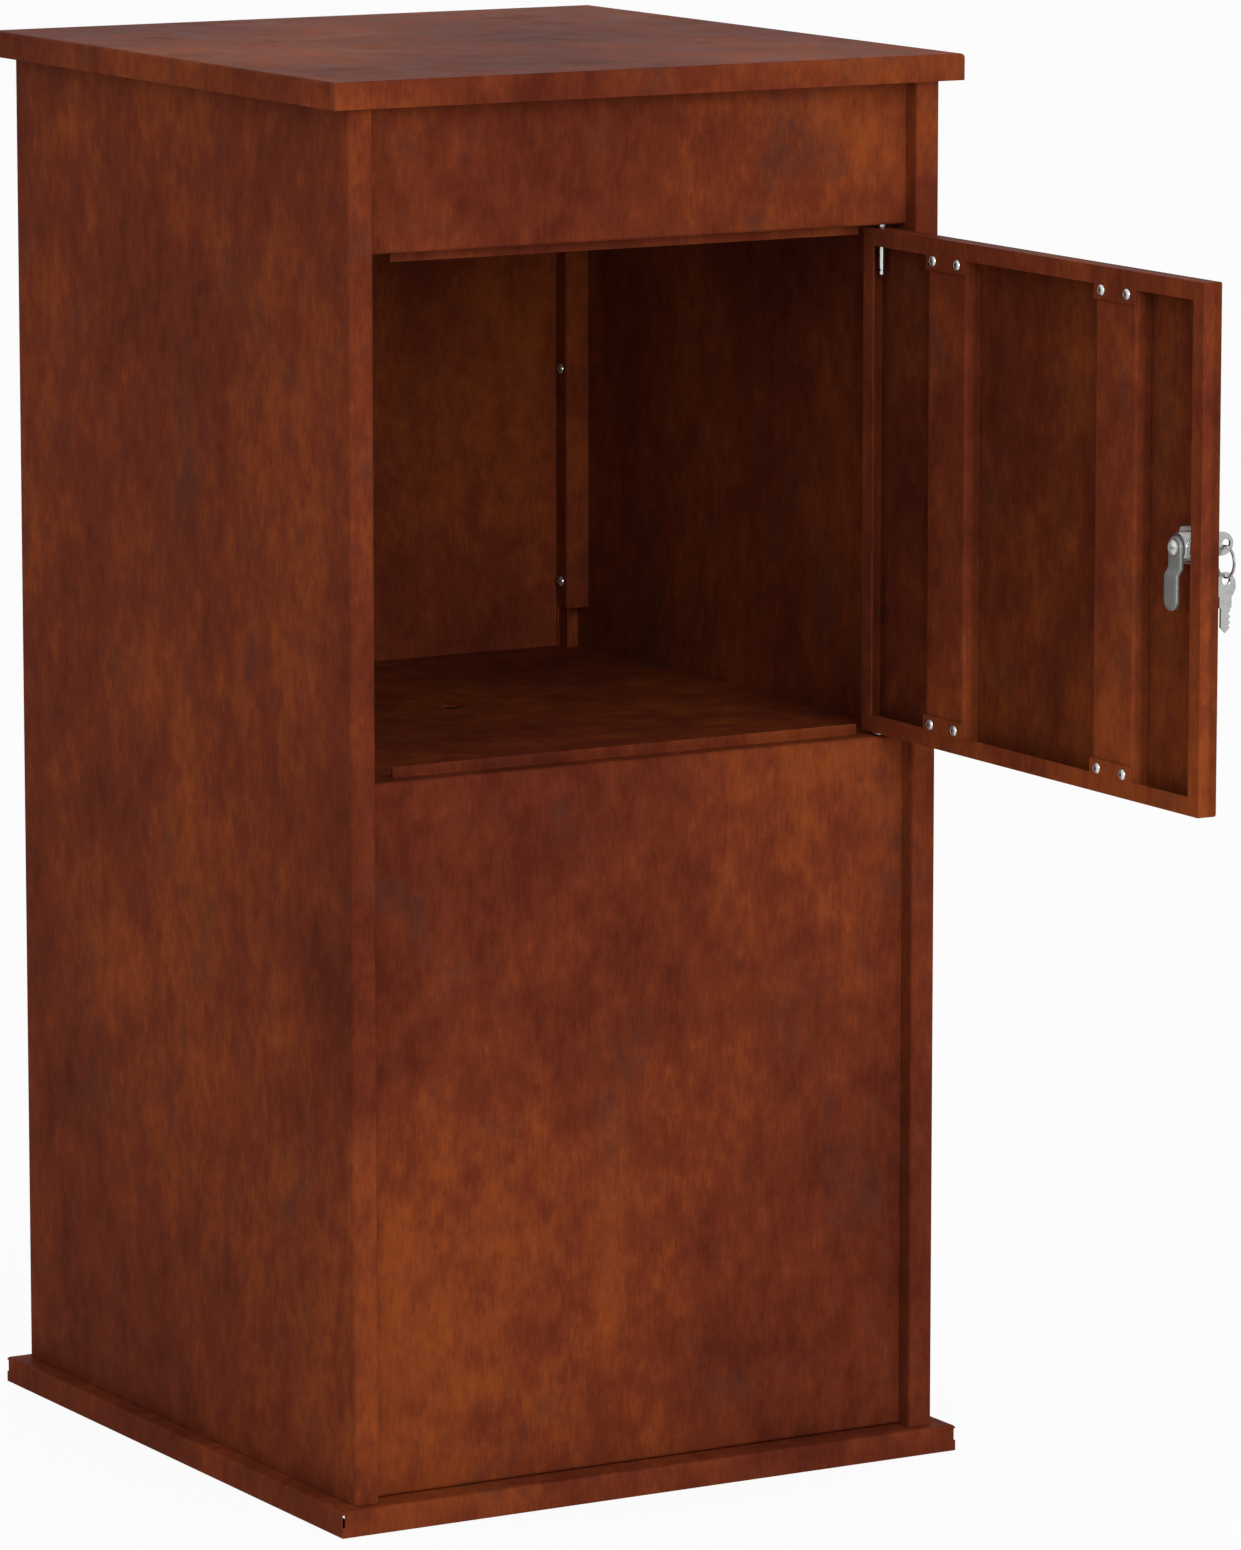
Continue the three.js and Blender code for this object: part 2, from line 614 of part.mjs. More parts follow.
// The plug turns in the housing. Its front is slotted for the key and its tail is square for the cam.
function makeLockPlug() {
  const seat = CAM_SEAT_WIDTH / 2 - SEAM;
  const slotX = KEY_THICKNESS / 2 + SEAM;
  const slotZ = KEY_BLADE_WIDTH / 2 + SEAM;
  const bladeTip = lockFront - SEAM + KEY_BLADE_LENGTH;
  const tail = block([-seat, seat], [lockBack - CUT_MARGIN, camBack - SEAM], [-seat, seat]);
  const slot = block([-slotX, slotX], [lockFront - CUT_MARGIN, bladeTip + SEAM], [-slotZ, slotZ]);
  const boreBottom = camBack - SCREW_SHANK_LENGTH - SEAM;
  const bore = rod(SCREW_SHANK_DIAMETER + 2 * SEAM, boreBottom, camBack + SEAM, PIN_SIDES);
  const barrel = rod(LOCK_PLUG_DIAMETER, lockFront, lockBack, LOCK_SIDES);
  return barrel.add(tail).subtract(slot).subtract(bore);
}

// The cam hangs down when unlocked, with a crank that sets its end further back.
function makeLockCam() {
  const half = CAM_WIDTH / 2;
  const near = (camFront + camBack) / 2;
  const far = near + CAM_CRANK_OFFSET;
  const line = [
    [near, half],
    [near, -CAM_CRANK_START],
    [far, -CAM_CRANK_START - CAM_CRANK_RUN],
    [far, -CAM_REACH],
  ];
  const outline = new THREE.Shape();
  outline.absarc(0, 0, half, 0, Math.PI);
  outline.absarc(0, half - CAM_REACH, half, Math.PI, 2 * Math.PI);
  const depth = camBack + CAM_CRANK_OFFSET + CUT_MARGIN;
  const blank = new THREE.ExtrudeGeometry(outline, { depth, bevelEnabled: false, curveSegments: PIN_SIDES });
  blank.rotateX(Math.PI / 2).translate(0, depth, 0);
  const seat = CAM_SEAT_WIDTH / 2;
  const hole = block([-seat, seat], [camFront - CUT_MARGIN, camBack + CUT_MARGIN], [-seat, seat]);
  return crosswiseSheet(line, half + CUT_MARGIN, CAM_THICKNESS).intersect(solid(blank)).subtract(hole);
}

function makeCamScrew() {
  const shank = SCREW_SHANK_DIAMETER / 2;
  const head = SCREW_HEAD_DIAMETER / 2;
  const under = camBack + SEAM;
  const top = under + SCREW_HEAD_HEIGHT;
  const points = [
    [0, camBack - SCREW_SHANK_LENGTH],
    [shank, camBack - SCREW_SHANK_LENGTH],
    [shank, under],
    [head, under],
    [head, under + SCREW_HEAD_HEIGHT / 2],
    [head - SCREW_HEAD_HEIGHT / 2, top],
    [0, top],
  ];
  const slotHalf = SCREW_SLOT_WIDTH / 2;
  const slot = block([-head, head], [top - SCREW_SLOT_DEPTH, top + CUT_MARGIN], [-slotHalf, slotHalf]);
  return turned(points, PIN_SIDES).subtract(slot);
}

// A flat key in the YZ plane with its ring eye at the origin and its blade towards +Y.
function makeKey() {
  const bow = KEY_BOW_WIDTH / 2;
  const neck = KEY_NECK_WIDTH / 2;
  const blade = KEY_BLADE_WIDTH / 2;
  const bowMiddle = KEY_BOW_LENGTH / 2 - KEY_EYE_INSET;
  const shoulder = keyLength;
  const tip = shoulder + KEY_BLADE_LENGTH;
  const neckAngle = Math.asin(neck / bow);
  const outline = new THREE.Shape();
  outline.absellipse(bowMiddle, 0, KEY_BOW_LENGTH / 2, bow, neckAngle, 2 * Math.PI - neckAngle);
  outline.lineTo(shoulder, -neck);
  outline.lineTo(shoulder, -blade);
  for (let cut = shoulder + KEY_BITE_PITCH; cut < tip - blade - KEY_BITE; cut += KEY_BITE_PITCH) {
    outline.lineTo(cut - KEY_BITE, -blade);
    outline.lineTo(cut, KEY_BITE - blade);
    outline.lineTo(cut + KEY_BITE, -blade);
  }
  outline.lineTo(tip - blade, -blade);
  outline.lineTo(tip, 0);
  outline.lineTo(tip - blade, blade);
  outline.lineTo(shoulder, blade);
  outline.lineTo(shoulder, neck);
  const eye = new THREE.Path();
  eye.absarc(0, 0, KEY_EYE_DIAMETER / 2, 0, 2 * Math.PI, true);
  outline.holes.push(eye);
  const options = { depth: KEY_THICKNESS, bevelEnabled: false, curveSegments: PIN_SIDES };
  const geometry = new THREE.ExtrudeGeometry(outline, options).translate(0, 0, -KEY_THICKNESS / 2);
  const upright = new THREE.Matrix4();
  upright.makeBasis(new THREE.Vector3(0, 1, 0), new THREE.Vector3(0, 0, 1), new THREE.Vector3(1, 0, 0));
  return solid(geometry.applyMatrix4(upright));
}

function makeKeyRing() {
  const wire = RING_WIRE_DIAMETER / 2;
  const geometry = new THREE.TorusGeometry(RING_DIAMETER / 2, wire, RING_WIRE_SIDES, LOCK_SIDES);
  return solid(geometry.rotateX(Math.PI / 2));
}

function buildCabinet() {
  const cabinet = new THREE.Group();
  cabinet.add(namedMesh('roof_cap', makeRoofCap(), paint()));
  cabinet.add(namedMesh('base_tray', makeBaseTray(), paint()));
  cabinet.add(namedMesh('side_panel_left', makeSidePanel(-1), paint()));
  cabinet.add(namedMesh('side_panel_right', makeSidePanel(1), paint()));
  cabinet.add(namedMesh('back_panel', makeBackPanel(), paint()));
  cabinet.add(namedMesh('front_fascia', makeFrontFascia(), paint()));
  cabinet.add(namedMesh('lower_front_panel', makeLowerPanel(), paint()));
  cabinet.add(namedMesh('shelf', makeShelf(), paint()));
  for (const [label, side] of [['left', -1], ['right', 1]]) {
    for (const [i, z] of rearRivetHeights().entries()) {
      const rivet = namedMesh(`rear_rivet_${label}_${i + 1}`, makeRivet(2 * SHEET + SEAM), zinc());
      rivet.position.set(side * (panelHalfWidth - SHEET), rearRivetY, z);
      rivet.rotation.z = (side * Math.PI) / 2;
      cabinet.add(rivet);
    }
  }
  for (const [name, pin] of [['hinge_pin_top', makeTopPin()], ['hinge_pin_bottom', makeBottomPin()]]) {
    const mesh = namedMesh(name, pin, zinc());
    mesh.position.set(hingeX, hingeY, 0);
    cabinet.add(mesh);
  }
  return cabinet;
}

function buildLock() {
  const lock = new THREE.Group();
  lock.position.set(lockX, 0, doorMiddle);
  lock.add(namedMesh('lock_housing', makeLockHousing(), zinc()));
  lock.add(namedMesh('lock_nut', makeLockNut(), zinc()));
  lock.add(namedMesh('lock_plug', makeLockPlug(), nickel()));
  lock.add(namedMesh('lock_cam', makeLockCam(), zinc()));
  lock.add(namedMesh('cam_screw', makeCamScrew(), zinc()));
  const key = namedMesh('key', makeKey(), zinc());
  key.position.set(0, keyEyeY, 0);
  lock.add(key);
  const ring = namedMesh('key_ring', makeKeyRing(), zinc());
  ring.position.set(0, keyEyeY, -ringHang - RING_DIAMETER / 2);
  lock.add(ring);
  const spare = namedMesh('spare_key', makeKey(), zinc());
  spare.position.set(0, keyEyeY, -2 * ringHang - RING_DIAMETER);
  spare.rotation.x = -Math.PI / 2;
  lock.add(spare);
  return lock;
}

function buildDoor() {
  const door = new THREE.Group();
  door.position.set(hingeX, hingeY, 0);
  door.rotation.z = DOOR_OPEN_ANGLE;
  door.add(namedMesh('door_shell', makeDoorShell(), paint()));
  for (const [i, label] of ['hinge', 'lock'].entries()) {
    door.add(namedMesh(`door_stiffener_${label}`, makeStiffener(stiffenerCentres[i]), paint()));
  }
  for (const { name, x, z } of doorRivetPlaces()) {
    const rivet = namedMesh(name, makeRivet(2 * SHEET + SEAM), zinc());
    rivet.position.set(x, doorHalf, z);
    door.add(rivet);
  }
  door.add(buildLock());
  return door;
}

const mailbox = new THREE.Group();
mailbox.add(buildCabinet(), buildDoor());
mailbox.position.y = FOOT_LIP / 2 - TRAY_DEPTH / 2;

export default mailbox;
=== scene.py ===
"""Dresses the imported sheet-steel mailbox: rusty coat, bright hardware, keys and a white stage."""
import math

import bmesh
import bpy
import numpy as np
from bpy.props import FloatProperty, FloatVectorProperty, PointerProperty
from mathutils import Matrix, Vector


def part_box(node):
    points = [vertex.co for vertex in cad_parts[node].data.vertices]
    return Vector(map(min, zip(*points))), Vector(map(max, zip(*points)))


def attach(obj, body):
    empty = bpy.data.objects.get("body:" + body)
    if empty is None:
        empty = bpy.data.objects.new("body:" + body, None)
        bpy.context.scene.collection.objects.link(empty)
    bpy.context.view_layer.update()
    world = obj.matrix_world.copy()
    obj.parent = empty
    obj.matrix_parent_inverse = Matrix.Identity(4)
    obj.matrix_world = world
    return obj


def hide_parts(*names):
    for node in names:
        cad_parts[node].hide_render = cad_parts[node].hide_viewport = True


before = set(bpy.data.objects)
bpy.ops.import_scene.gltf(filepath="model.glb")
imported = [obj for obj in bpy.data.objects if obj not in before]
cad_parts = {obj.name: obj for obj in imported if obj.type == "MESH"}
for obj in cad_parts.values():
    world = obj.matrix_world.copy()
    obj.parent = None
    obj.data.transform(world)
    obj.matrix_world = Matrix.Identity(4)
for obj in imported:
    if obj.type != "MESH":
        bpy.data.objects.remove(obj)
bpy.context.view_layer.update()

bl_info = {
    "name": "Rust-coloured parcel mailbox",
    "version": (1, 0, 0),
    "blender": (4, 5, 0),
    "location": "View3D > Sidebar > Mailbox",
    "description": "Coats the folded sheet, and makes the rivets, hinge pins, lock and keys",
    "category": "Object",
}

MM = 0.001
CABINET_SHEETS = (
    "roof_cap",
    "base_tray",
    "side_panel_left",
    "side_panel_right",
    "back_panel",
    "front_fascia",
    "lower_front_panel",
    "shelf",
)
DOOR_SHEETS = ("door_shell", "door_stiffener_hinge", "door_stiffener_lock")
ROUND_COLUMNS = 48
RIVET_COLUMNS = 28
SHARP_ANGLE = math.radians(34)
MERGE_DISTANCE = 1e-6

# Coat: where its pattern starts, its layers of noise, and what each adds to tone, gloss and height.
CABINET_PATTERN = (3.1, 1.7, 0.4)
DOOR_PATTERN = (7.3, 4.9, 2.2)
CLOUD = {"stretch": (1, 1, 0.8), "detail": 5}
STREAK = {"stretch": (1, 1, 0.6), "detail": 3, "roughness": 0.55}
DAPPLE = {"stretch": (1, 1, 0.7), "detail": 4, "roughness": 0.65}
GRAIN = {"stretch": (1, 1, 0.2), "detail": 2}
PATCHES = {"stretch": (1.2, 1.2, 0.9), "detail": 8, "roughness": 0.72}
SPECKLE = {"stretch": (1, 1, 1), "scale": 900, "detail": 3, "roughness": 0.7}
DAPPLES_PER_STREAK, GRAINS_PER_STREAK, PATCHES_PER_CLOUD = 2.6, 14, 2.4
CLOUD_TONE, STREAK_TONE, DAPPLE_TONE, GRAIN_TONE = 1.5, 0.75, 0.7, 0.4
SHADE_STOP, BROWN_STOP, ORANGE_STOP = 0.16, 0.52, 0.9
BRUISE_START, BRUISE_FULL, BRUISE_STRENGTH, BRUISE_STREAKS = 0.03, 0.2, 0.45, 0.4
# Painted shade on the door: its recessed sheet, inset from the near and far faces along X, is
# blended towards black by this strength, where shade falls between the rims.
PAINTED_SHADE_NEAR_INSET, PAINTED_SHADE_NEAR_FADE = 5 * MM, 3 * MM
PAINTED_SHADE_FAR_INSET, PAINTED_SHADE_FAR_FADE = 0.8 * MM, 0.4 * MM
PAINTED_SHADE_STRENGTH = 0.3
STREAK_GLOSS, GRAIN_GLOSS, BRUISE_GLOSS = 0.22, 0.12, 0.08
SPECKLE_HEIGHT, GRAIN_HEIGHT, DAPPLE_HEIGHT = 0.7, 0.5, 0.8
COAT_BUMP, METAL_BUMP = 0.6, 0.35

# Plated metal: scratches and tarnish, and the axis that each kind of piece is brushed along.
SCRATCH = {"scale": 2600, "detail": 3}
TARNISH = {"stretch": (1, 1, 1), "scale": 170, "detail": 4}
TARNISH_START, TARNISH_FULL, TARNISH_SCRATCHES = -0.02, 0.3, 0.4
TARNISH_SHARE = 0.62
TARNISH_GLOSS, SCRATCH_GLOSS = 0.3, 0.22
SCRATCH_DEPTH = 0.04 * MM
EVEN_BRUSHING = (1, 1, 1)
UPRIGHT_BRUSHING = (1, 1, 0.12)
PIN_BRUSHING = (1, 1, 0.1)
KEY_BRUSHING = (0.15, 1, 0.15)

# Stage: lamps and floor in metres, and the camera's sensor.
SENSOR_MM = 36
OVERHEAD_PLACE, OVERHEAD_TARGET, OVERHEAD_SIZE = (-0.4, -1.2, 3.1), (0, -0.25, 0.4), 2.6
FRONT_PLACE, FRONT_TARGET, FRONT_SIZE = (-0.55, -3.2, 1.5), (0, -0.3, 0.5), 1.6
FLOOR_HALF = 25.0
FLOOR_DROP = 0.5 * MM
FLOOR_WHITE = 0.92


def linear(red, green, blue):
    """A colour as the renderer counts it, from the three bytes of a screen colour."""
    screen = np.array((red, green, blue)) / 255
    return tuple(np.where(screen > 0.04045, ((screen + 0.055) / 1.055) ** 2.4, screen / 12.92))


class Value:
    """A shader socket that takes part in Python sums: each operator adds one Math node."""

    def __init__(self, nodes, socket):
        self.nodes = nodes
        self.socket = socket

    def sum(self, operation, first, second):
        """A Math node on two sockets or numbers."""
        return self.nodes.add("ShaderNodeMath", {"operation": operation}, {0: first, 1: second})

    def __add__(self, other):
        return self.sum("ADD", self, other)

    def __radd__(self, other):
        return self.sum("ADD", other, self)

    def __sub__(self, other):
        return self.sum("SUBTRACT", self, other)

    def __rsub__(self, other):
        return self.sum("SUBTRACT", other, self)

    def __mul__(self, other):
        return self.sum("MULTIPLY", self, other)


class Nodes:
    """One node tree, and the one way to add a node to it."""

    def __init__(self, tree):
        self.tree = tree
        tree.nodes.clear()

    def add(self, kind, settings=None, inputs=None, output=0):
        """Add a node, set its settings, then fill or link its sockets, and give one output back."""
        node = self.tree.nodes.new(kind)
        for name, value in (settings or {}).items():
            if name == "stops":
                self.set_stops(node.color_ramp, value)
            else:
                setattr(node, name, value)
        for name, value in (inputs or {}).items():
            if isinstance(value, Value):
                self.tree.links.new(value.socket, node.inputs[name])
            else:
                node.inputs[name].default_value = value
        return Value(self, node.outputs[output]) if len(node.outputs) else None

    def set_stops(self, ramp, stops):
        """Give a colour ramp its places and colours."""
        while len(ramp.elements) < len(stops):
            ramp.elements.new(0.5)
        for element, (place, colour) in zip(ramp.elements, stops):
            element.position = place
            element.color = (*colour, 1)

    def noise(self, at, stretch, scale, detail, roughness=0.6):
        """Cloud noise about 0, on coordinates stretched along the three axes."""
        place = self.add("ShaderNodeVectorMath", {"operation": "MULTIPLY"}, {0: at, 1: stretch})
        sockets = {"Vector": place, "Scale": scale, "Detail": detail, "Roughness": roughness}
        return self.add("ShaderNodeTexNoise", None, sockets) - 0.5

    def between(self, value, low, high):
        """A smooth step from 0 at low to 1 at high."""
        settings = {"interpolation_type": "SMOOTHSTEP"}
        return self.add("ShaderNodeMapRange", settings, {0: value, 1: low, 2: high})

    def blend(self, factor, first, second):
        """A mix of two colours."""
        settings = {"data_type": "RGBA", "clamp_factor": True}
        return self.add("ShaderNodeMix", settings, {0: factor, 6: first, 7: second}, output=2)

    def finish(self, shader):
        """Show a shader on the material's surface."""
        self.add("ShaderNodeOutputMaterial", None, {"Surface": shader})


class CoatSettings(bpy.types.PropertyGroup):
    """The rust-coloured coat on the folded sheet."""

    brown: FloatVectorProperty(
        name="Brown",
        description="Red-brown that most of the coat has",
        subtype="COLOR",
        default=linear(104, 46, 27),
    )
    orange: FloatVectorProperty(
        name="Orange",
        description="Lighter orange-brown of the clouds",
        subtype="COLOR",
        default=linear(133, 64, 30),
    )
    shade: FloatVectorProperty(
        name="Shade",
        description="Dark red-brown between the clouds",
        subtype="COLOR",
        default=linear(82, 34, 22),
    )
    bruise: FloatVectorProperty(
        name="Bruise",
        description="Greyish dark patches",
        subtype="COLOR",
        default=linear(66, 42, 36),
    )
    cloud_size: FloatProperty(
        name="Cloud size",
        description="Distance across one large cloud of colour",
        unit="LENGTH",
        subtype="DISTANCE",
        default=0.2,
    )
    streak_size: FloatProperty(
        name="Streak width",
        description="Distance across one upright streak",
        unit="LENGTH",
        subtype="DISTANCE",
        default=0.026,
    )
    roughness: FloatProperty(
        name="Roughness",
        description="Mean roughness of the satin coat",
        subtype="FACTOR",
        min=0,
        max=1,
        default=0.42,
    )
    sheen: FloatProperty(
        name="Sheen",
        description="How much the coat mirrors straight on, where 0.5 is varnish",
        subtype="FACTOR",
        min=0,
        max=1,
        default=0.004,
    )
    relief: FloatProperty(
        name="Relief",
        description="Height of the coat's fine texture",
        unit="LENGTH",
        subtype="DISTANCE",
        default=0.00012,
    )


class HardwareSettings(bpy.types.PropertyGroup):
    """Bright metal pieces, with the sizes of their visible details."""

    zinc: FloatVectorProperty(
        name="Zinc",
        description="Colour of the plated rivets, pins, nut and cam screw",
        subtype="COLOR",
        default=linear(208, 208, 205),
    )
    nickel: FloatVectorProperty(
        name="Nickel",
        description="Colour of the lock, keys and ring",
        subtype="COLOR",
        default=linear(180, 180, 178),
    )
    satin: FloatVectorProperty(
        name="Satin zinc",
        description="Duller colour of the lock's cam",
        subtype="COLOR",
        default=linear(150, 152, 149),
    )
    # Partly painted shade: the broken mandrel's own dark metal, made darker still to paint the
    # shade in the rivet's eye.
    core: FloatVectorProperty(
        name="Mandrel",
        description="Dark broken mandrel in a rivet's eye",
        subtype="COLOR",
        default=linear(92, 86, 80),
    )
    rivet_eye: FloatProperty(
        name="Rivet eye",
        description="Diameter of the hole in a rivet's head",
        unit="LENGTH",
        subtype="DISTANCE",
        default=2.1 * MM,
    )
    rivet_head: FloatProperty(
        name="Rivet head",
        description="Height of a rivet's head",
        unit="LENGTH",
        subtype="DISTANCE",
        default=1.3 * MM,
    )
    rivet_tail: FloatProperty(
        name="Rivet tail",
        description="Length of a rivet's pulled tail",
        unit="LENGTH",
        subtype="DISTANCE",
        default=2.0 * MM,
    )
    thread_pitch: FloatProperty(
        name="Thread pitch",
        description="Distance between two turns of the lock's thread",
        unit="LENGTH",
        subtype="DISTANCE",
        default=1.0 * MM,
    )
    thread_depth: FloatProperty(
        name="Thread depth",
        description="Depth of the lock's thread",
        unit="LENGTH",
        subtype="DISTANCE",
        default=0.35 * MM,
    )


class StageSettings(bpy.types.PropertyGroup):
    """White stage, soft lamps and the camera."""

    floor: FloatVectorProperty(
        name="Floor",
        description="Colour of the floor",
        subtype="COLOR",
        default=(0.9, 0.9, 0.9),
    )
    ambient: FloatProperty(
        name="Ambient",
        description="Strength of the even light all round",
        min=0,
        default=0.68,
    )
    overhead: FloatProperty(
        name="Overhead lamp",
        description="Power of the large lamp above",
        unit="POWER",
        default=8,
    )
    front: FloatProperty(
        name="Front lamp",
        description="Power of the large lamp in front",
        unit="POWER",
        default=42,
    )
    eye: FloatVectorProperty(
        name="Camera place",
        description="Where the camera stands",
        unit="LENGTH",
        subtype="TRANSLATION",
        default=(-2.2887, -4.3465, 1.1760),
    )
    turn: FloatProperty(
        name="Camera turn",
        description="How far the camera looks to the right of straight ahead",
        unit="ROTATION",
        subtype="ANGLE",
        default=math.radians(29.957),
    )
    tilt: FloatProperty(
        name="Camera tilt",
        description="How far the camera looks down",
        unit="ROTATION",
        subtype="ANGLE",
        default=math.radians(9.539),
    )
    lens: FloatProperty(
        name="Lens",
        description="Focal length on a sensor 36 mm high",
        unit="CAMERA",
        default=192.5,
    )


def new_material(name):
    """A material and its empty node tree."""
    material = bpy.data.materials.new(name)
    material.use_nodes = True
    return material, Nodes(material.node_tree)


def rust_coat(name, coat, offset, painted_shade_span=None):
    """The mottled coat: clouds, upright streaks and fine grain choose a tone between dark, brown
    and orange, greyish bruises lie over it, and the same noises vary the gloss and the relief.
    A recessed sheet, given as its nearest and furthest place along X, gets painted shade: its tone
    is blended towards black there."""
    material, nodes = new_material(name)
    place = nodes.add("ShaderNodeTexCoord", output="Object")
    at = nodes.add("ShaderNodeVectorMath", {"operation": "ADD"}, {0: place, 1: offset})
    per_cloud = 1 / coat.cloud_size
    per_streak = 1 / coat.streak_size
    cloud = nodes.noise(at, scale=per_cloud, **CLOUD)
    streak = nodes.noise(at, scale=per_streak, **STREAK)
    dapple = nodes.noise(at, scale=DAPPLES_PER_STREAK * per_streak, **DAPPLE)
    grain = nodes.noise(at, scale=GRAINS_PER_STREAK * per_streak, **GRAIN)
    tone = 0.5 + cloud * CLOUD_TONE + streak * STREAK_TONE
    tone = tone + dapple * DAPPLE_TONE + grain * GRAIN_TONE
    stops = ((SHADE_STOP, coat.shade), (BROWN_STOP, coat.brown), (ORANGE_STOP, coat.orange))
    colour = nodes.add("ShaderNodeValToRGB", {"stops": stops}, {0: tone})
    patches = nodes.noise(at, scale=PATCHES_PER_CLOUD * per_cloud, **PATCHES)
    patches = patches + streak * BRUISE_STREAKS
    bruise = nodes.between(patches, BRUISE_START, BRUISE_FULL) * BRUISE_STRENGTH
    colour = nodes.blend(bruise, colour, (*coat.bruise, 1))
    # Painted shade: the recessed sheet between the two places along X is blended towards black,
    # where shade falls in the recess.
    if painted_shade_span:
        near, far = painted_shade_span
        along = nodes.add("ShaderNodeSeparateXYZ", None, {0: place})
        past_far = nodes.between(along, far, far + PAINTED_SHADE_FAR_FADE)
        painted_shade = nodes.between(along, near, near + PAINTED_SHADE_NEAR_FADE) * (1 - past_far)
        colour = nodes.blend(painted_shade * PAINTED_SHADE_STRENGTH, colour, (0, 0, 0, 1))
    gloss = coat.roughness + streak * STREAK_GLOSS + grain * GRAIN_GLOSS + bruise * BRUISE_GLOSS
    speckle = nodes.noise(at, **SPECKLE)
    height = speckle * SPECKLE_HEIGHT + grain * GRAIN_HEIGHT + dapple * DAPPLE_HEIGHT
    relief = {"Strength": COAT_BUMP, "Distance": coat.relief, "Height": height}
    sockets = {
        "Base Color": colour,
        "Roughness": gloss,
        "Normal": nodes.add("ShaderNodeBump", None, relief),
        "Specular IOR Level": coat.sheen,
    }
    nodes.finish(nodes.add("ShaderNodeBsdfPrincipled", None, sockets))
    return material


def plated_metal(name, colour, brushing, roughness, metallic):
    """Plated metal: fine scratches along one axis and soft clouds vary the tone, the gloss and
    the relief."""
    material, nodes = new_material(name)
    place = nodes.add("ShaderNodeTexCoord", output="Object")
    scratch = nodes.noise(place, brushing, **SCRATCH)
    cloud = nodes.noise(place, **TARNISH)
    dull = tuple(TARNISH_SHARE * part for part in colour)
    tarnish = nodes.between(cloud + scratch * TARNISH_SCRATCHES, TARNISH_START, TARNISH_FULL)
    relief = {"Strength": METAL_BUMP, "Distance": SCRATCH_DEPTH, "Height": scratch}
    sockets = {
        "Base Color": nodes.blend(tarnish, (*colour, 1), (*dull, 1)),
        "Roughness": roughness + cloud * TARNISH_GLOSS + scratch * SCRATCH_GLOSS,
        "Normal": nodes.add("ShaderNodeBump", None, relief),
        "Metallic": metallic,
    }
    nodes.finish(nodes.add("ShaderNodeBsdfPrincipled", None, sockets))
    return material


def metal(name, colour, brushing, roughness, metallic=1):
    """The plated metal of that name, made once."""
    made = bpy.data.materials.get(name)
    return made or plated_metal(name, colour, brushing, roughness, metallic)


def coat_nodes(names, material):
    """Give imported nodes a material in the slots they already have."""
    for name in names:
        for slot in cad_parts[name].material_slots:
            slot.material = material


def box(node):
    """A node's lowest and highest corner as arrays."""
    low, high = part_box(node)
    return np.array(low), np.array(high)


def turned(profile, centre, axis, columns):
    """A turned surface: the point at angle u of profile row v is centre + axis * along(v)
    + radius(v) * (cos u * side + sin u * up), with side, up and axis square to each other."""
    profile = np.asarray(profile, float)
    axis = np.asarray(axis, float)
    side = np.roll(np.abs(axis), 1)
    up = np.cross(axis, side)
    angle = np.linspace(0, 2 * np.pi, columns, endpoint=False)
    ring = np.cos(angle)[:, None] * side + np.sin(angle)[:, None] * up
    radius = profile[:, :1, None]
    along = profile[:, 1:, None]
    return np.asarray(centre) + along * axis + radius * ring


def arc(centre_radius, centre_along, radius, start, end, steps=5):
    """Profile rows on a circle: centre + radius * (cos a, sin a), with a in degrees."""
    angle = np.radians(np.linspace(start, end, steps))
    across = centre_radius + radius * np.cos(angle)
    along = centre_along + radius * np.sin(angle)
    return np.stack([across, along], axis=1)


def smooth_step(value, low, high):
    """0 up to low, 1 from high on, and share squared * (3 - 2 * share) between the two."""
    share = np.clip((value - low) / (high - low), 0, 1)
    return share**2 * (3 - 2 * share)


def squared_wave(wave, power):
    """A wave with squarer shoulders: sign(wave) * |wave| to the power."""
    return np.sign(wave) * np.abs(wave) ** power


def closed_tube(grid):
    """The grid with one more row at each end, shrunk to the middle of the end row."""
    columns = grid.shape[1]
    first = np.repeat(grid[:1].mean(axis=1, keepdims=True), columns, 1)
    last = np.repeat(grid[-1:].mean(axis=1, keepdims=True), columns, 1)
    return np.concatenate([first, grid, last])


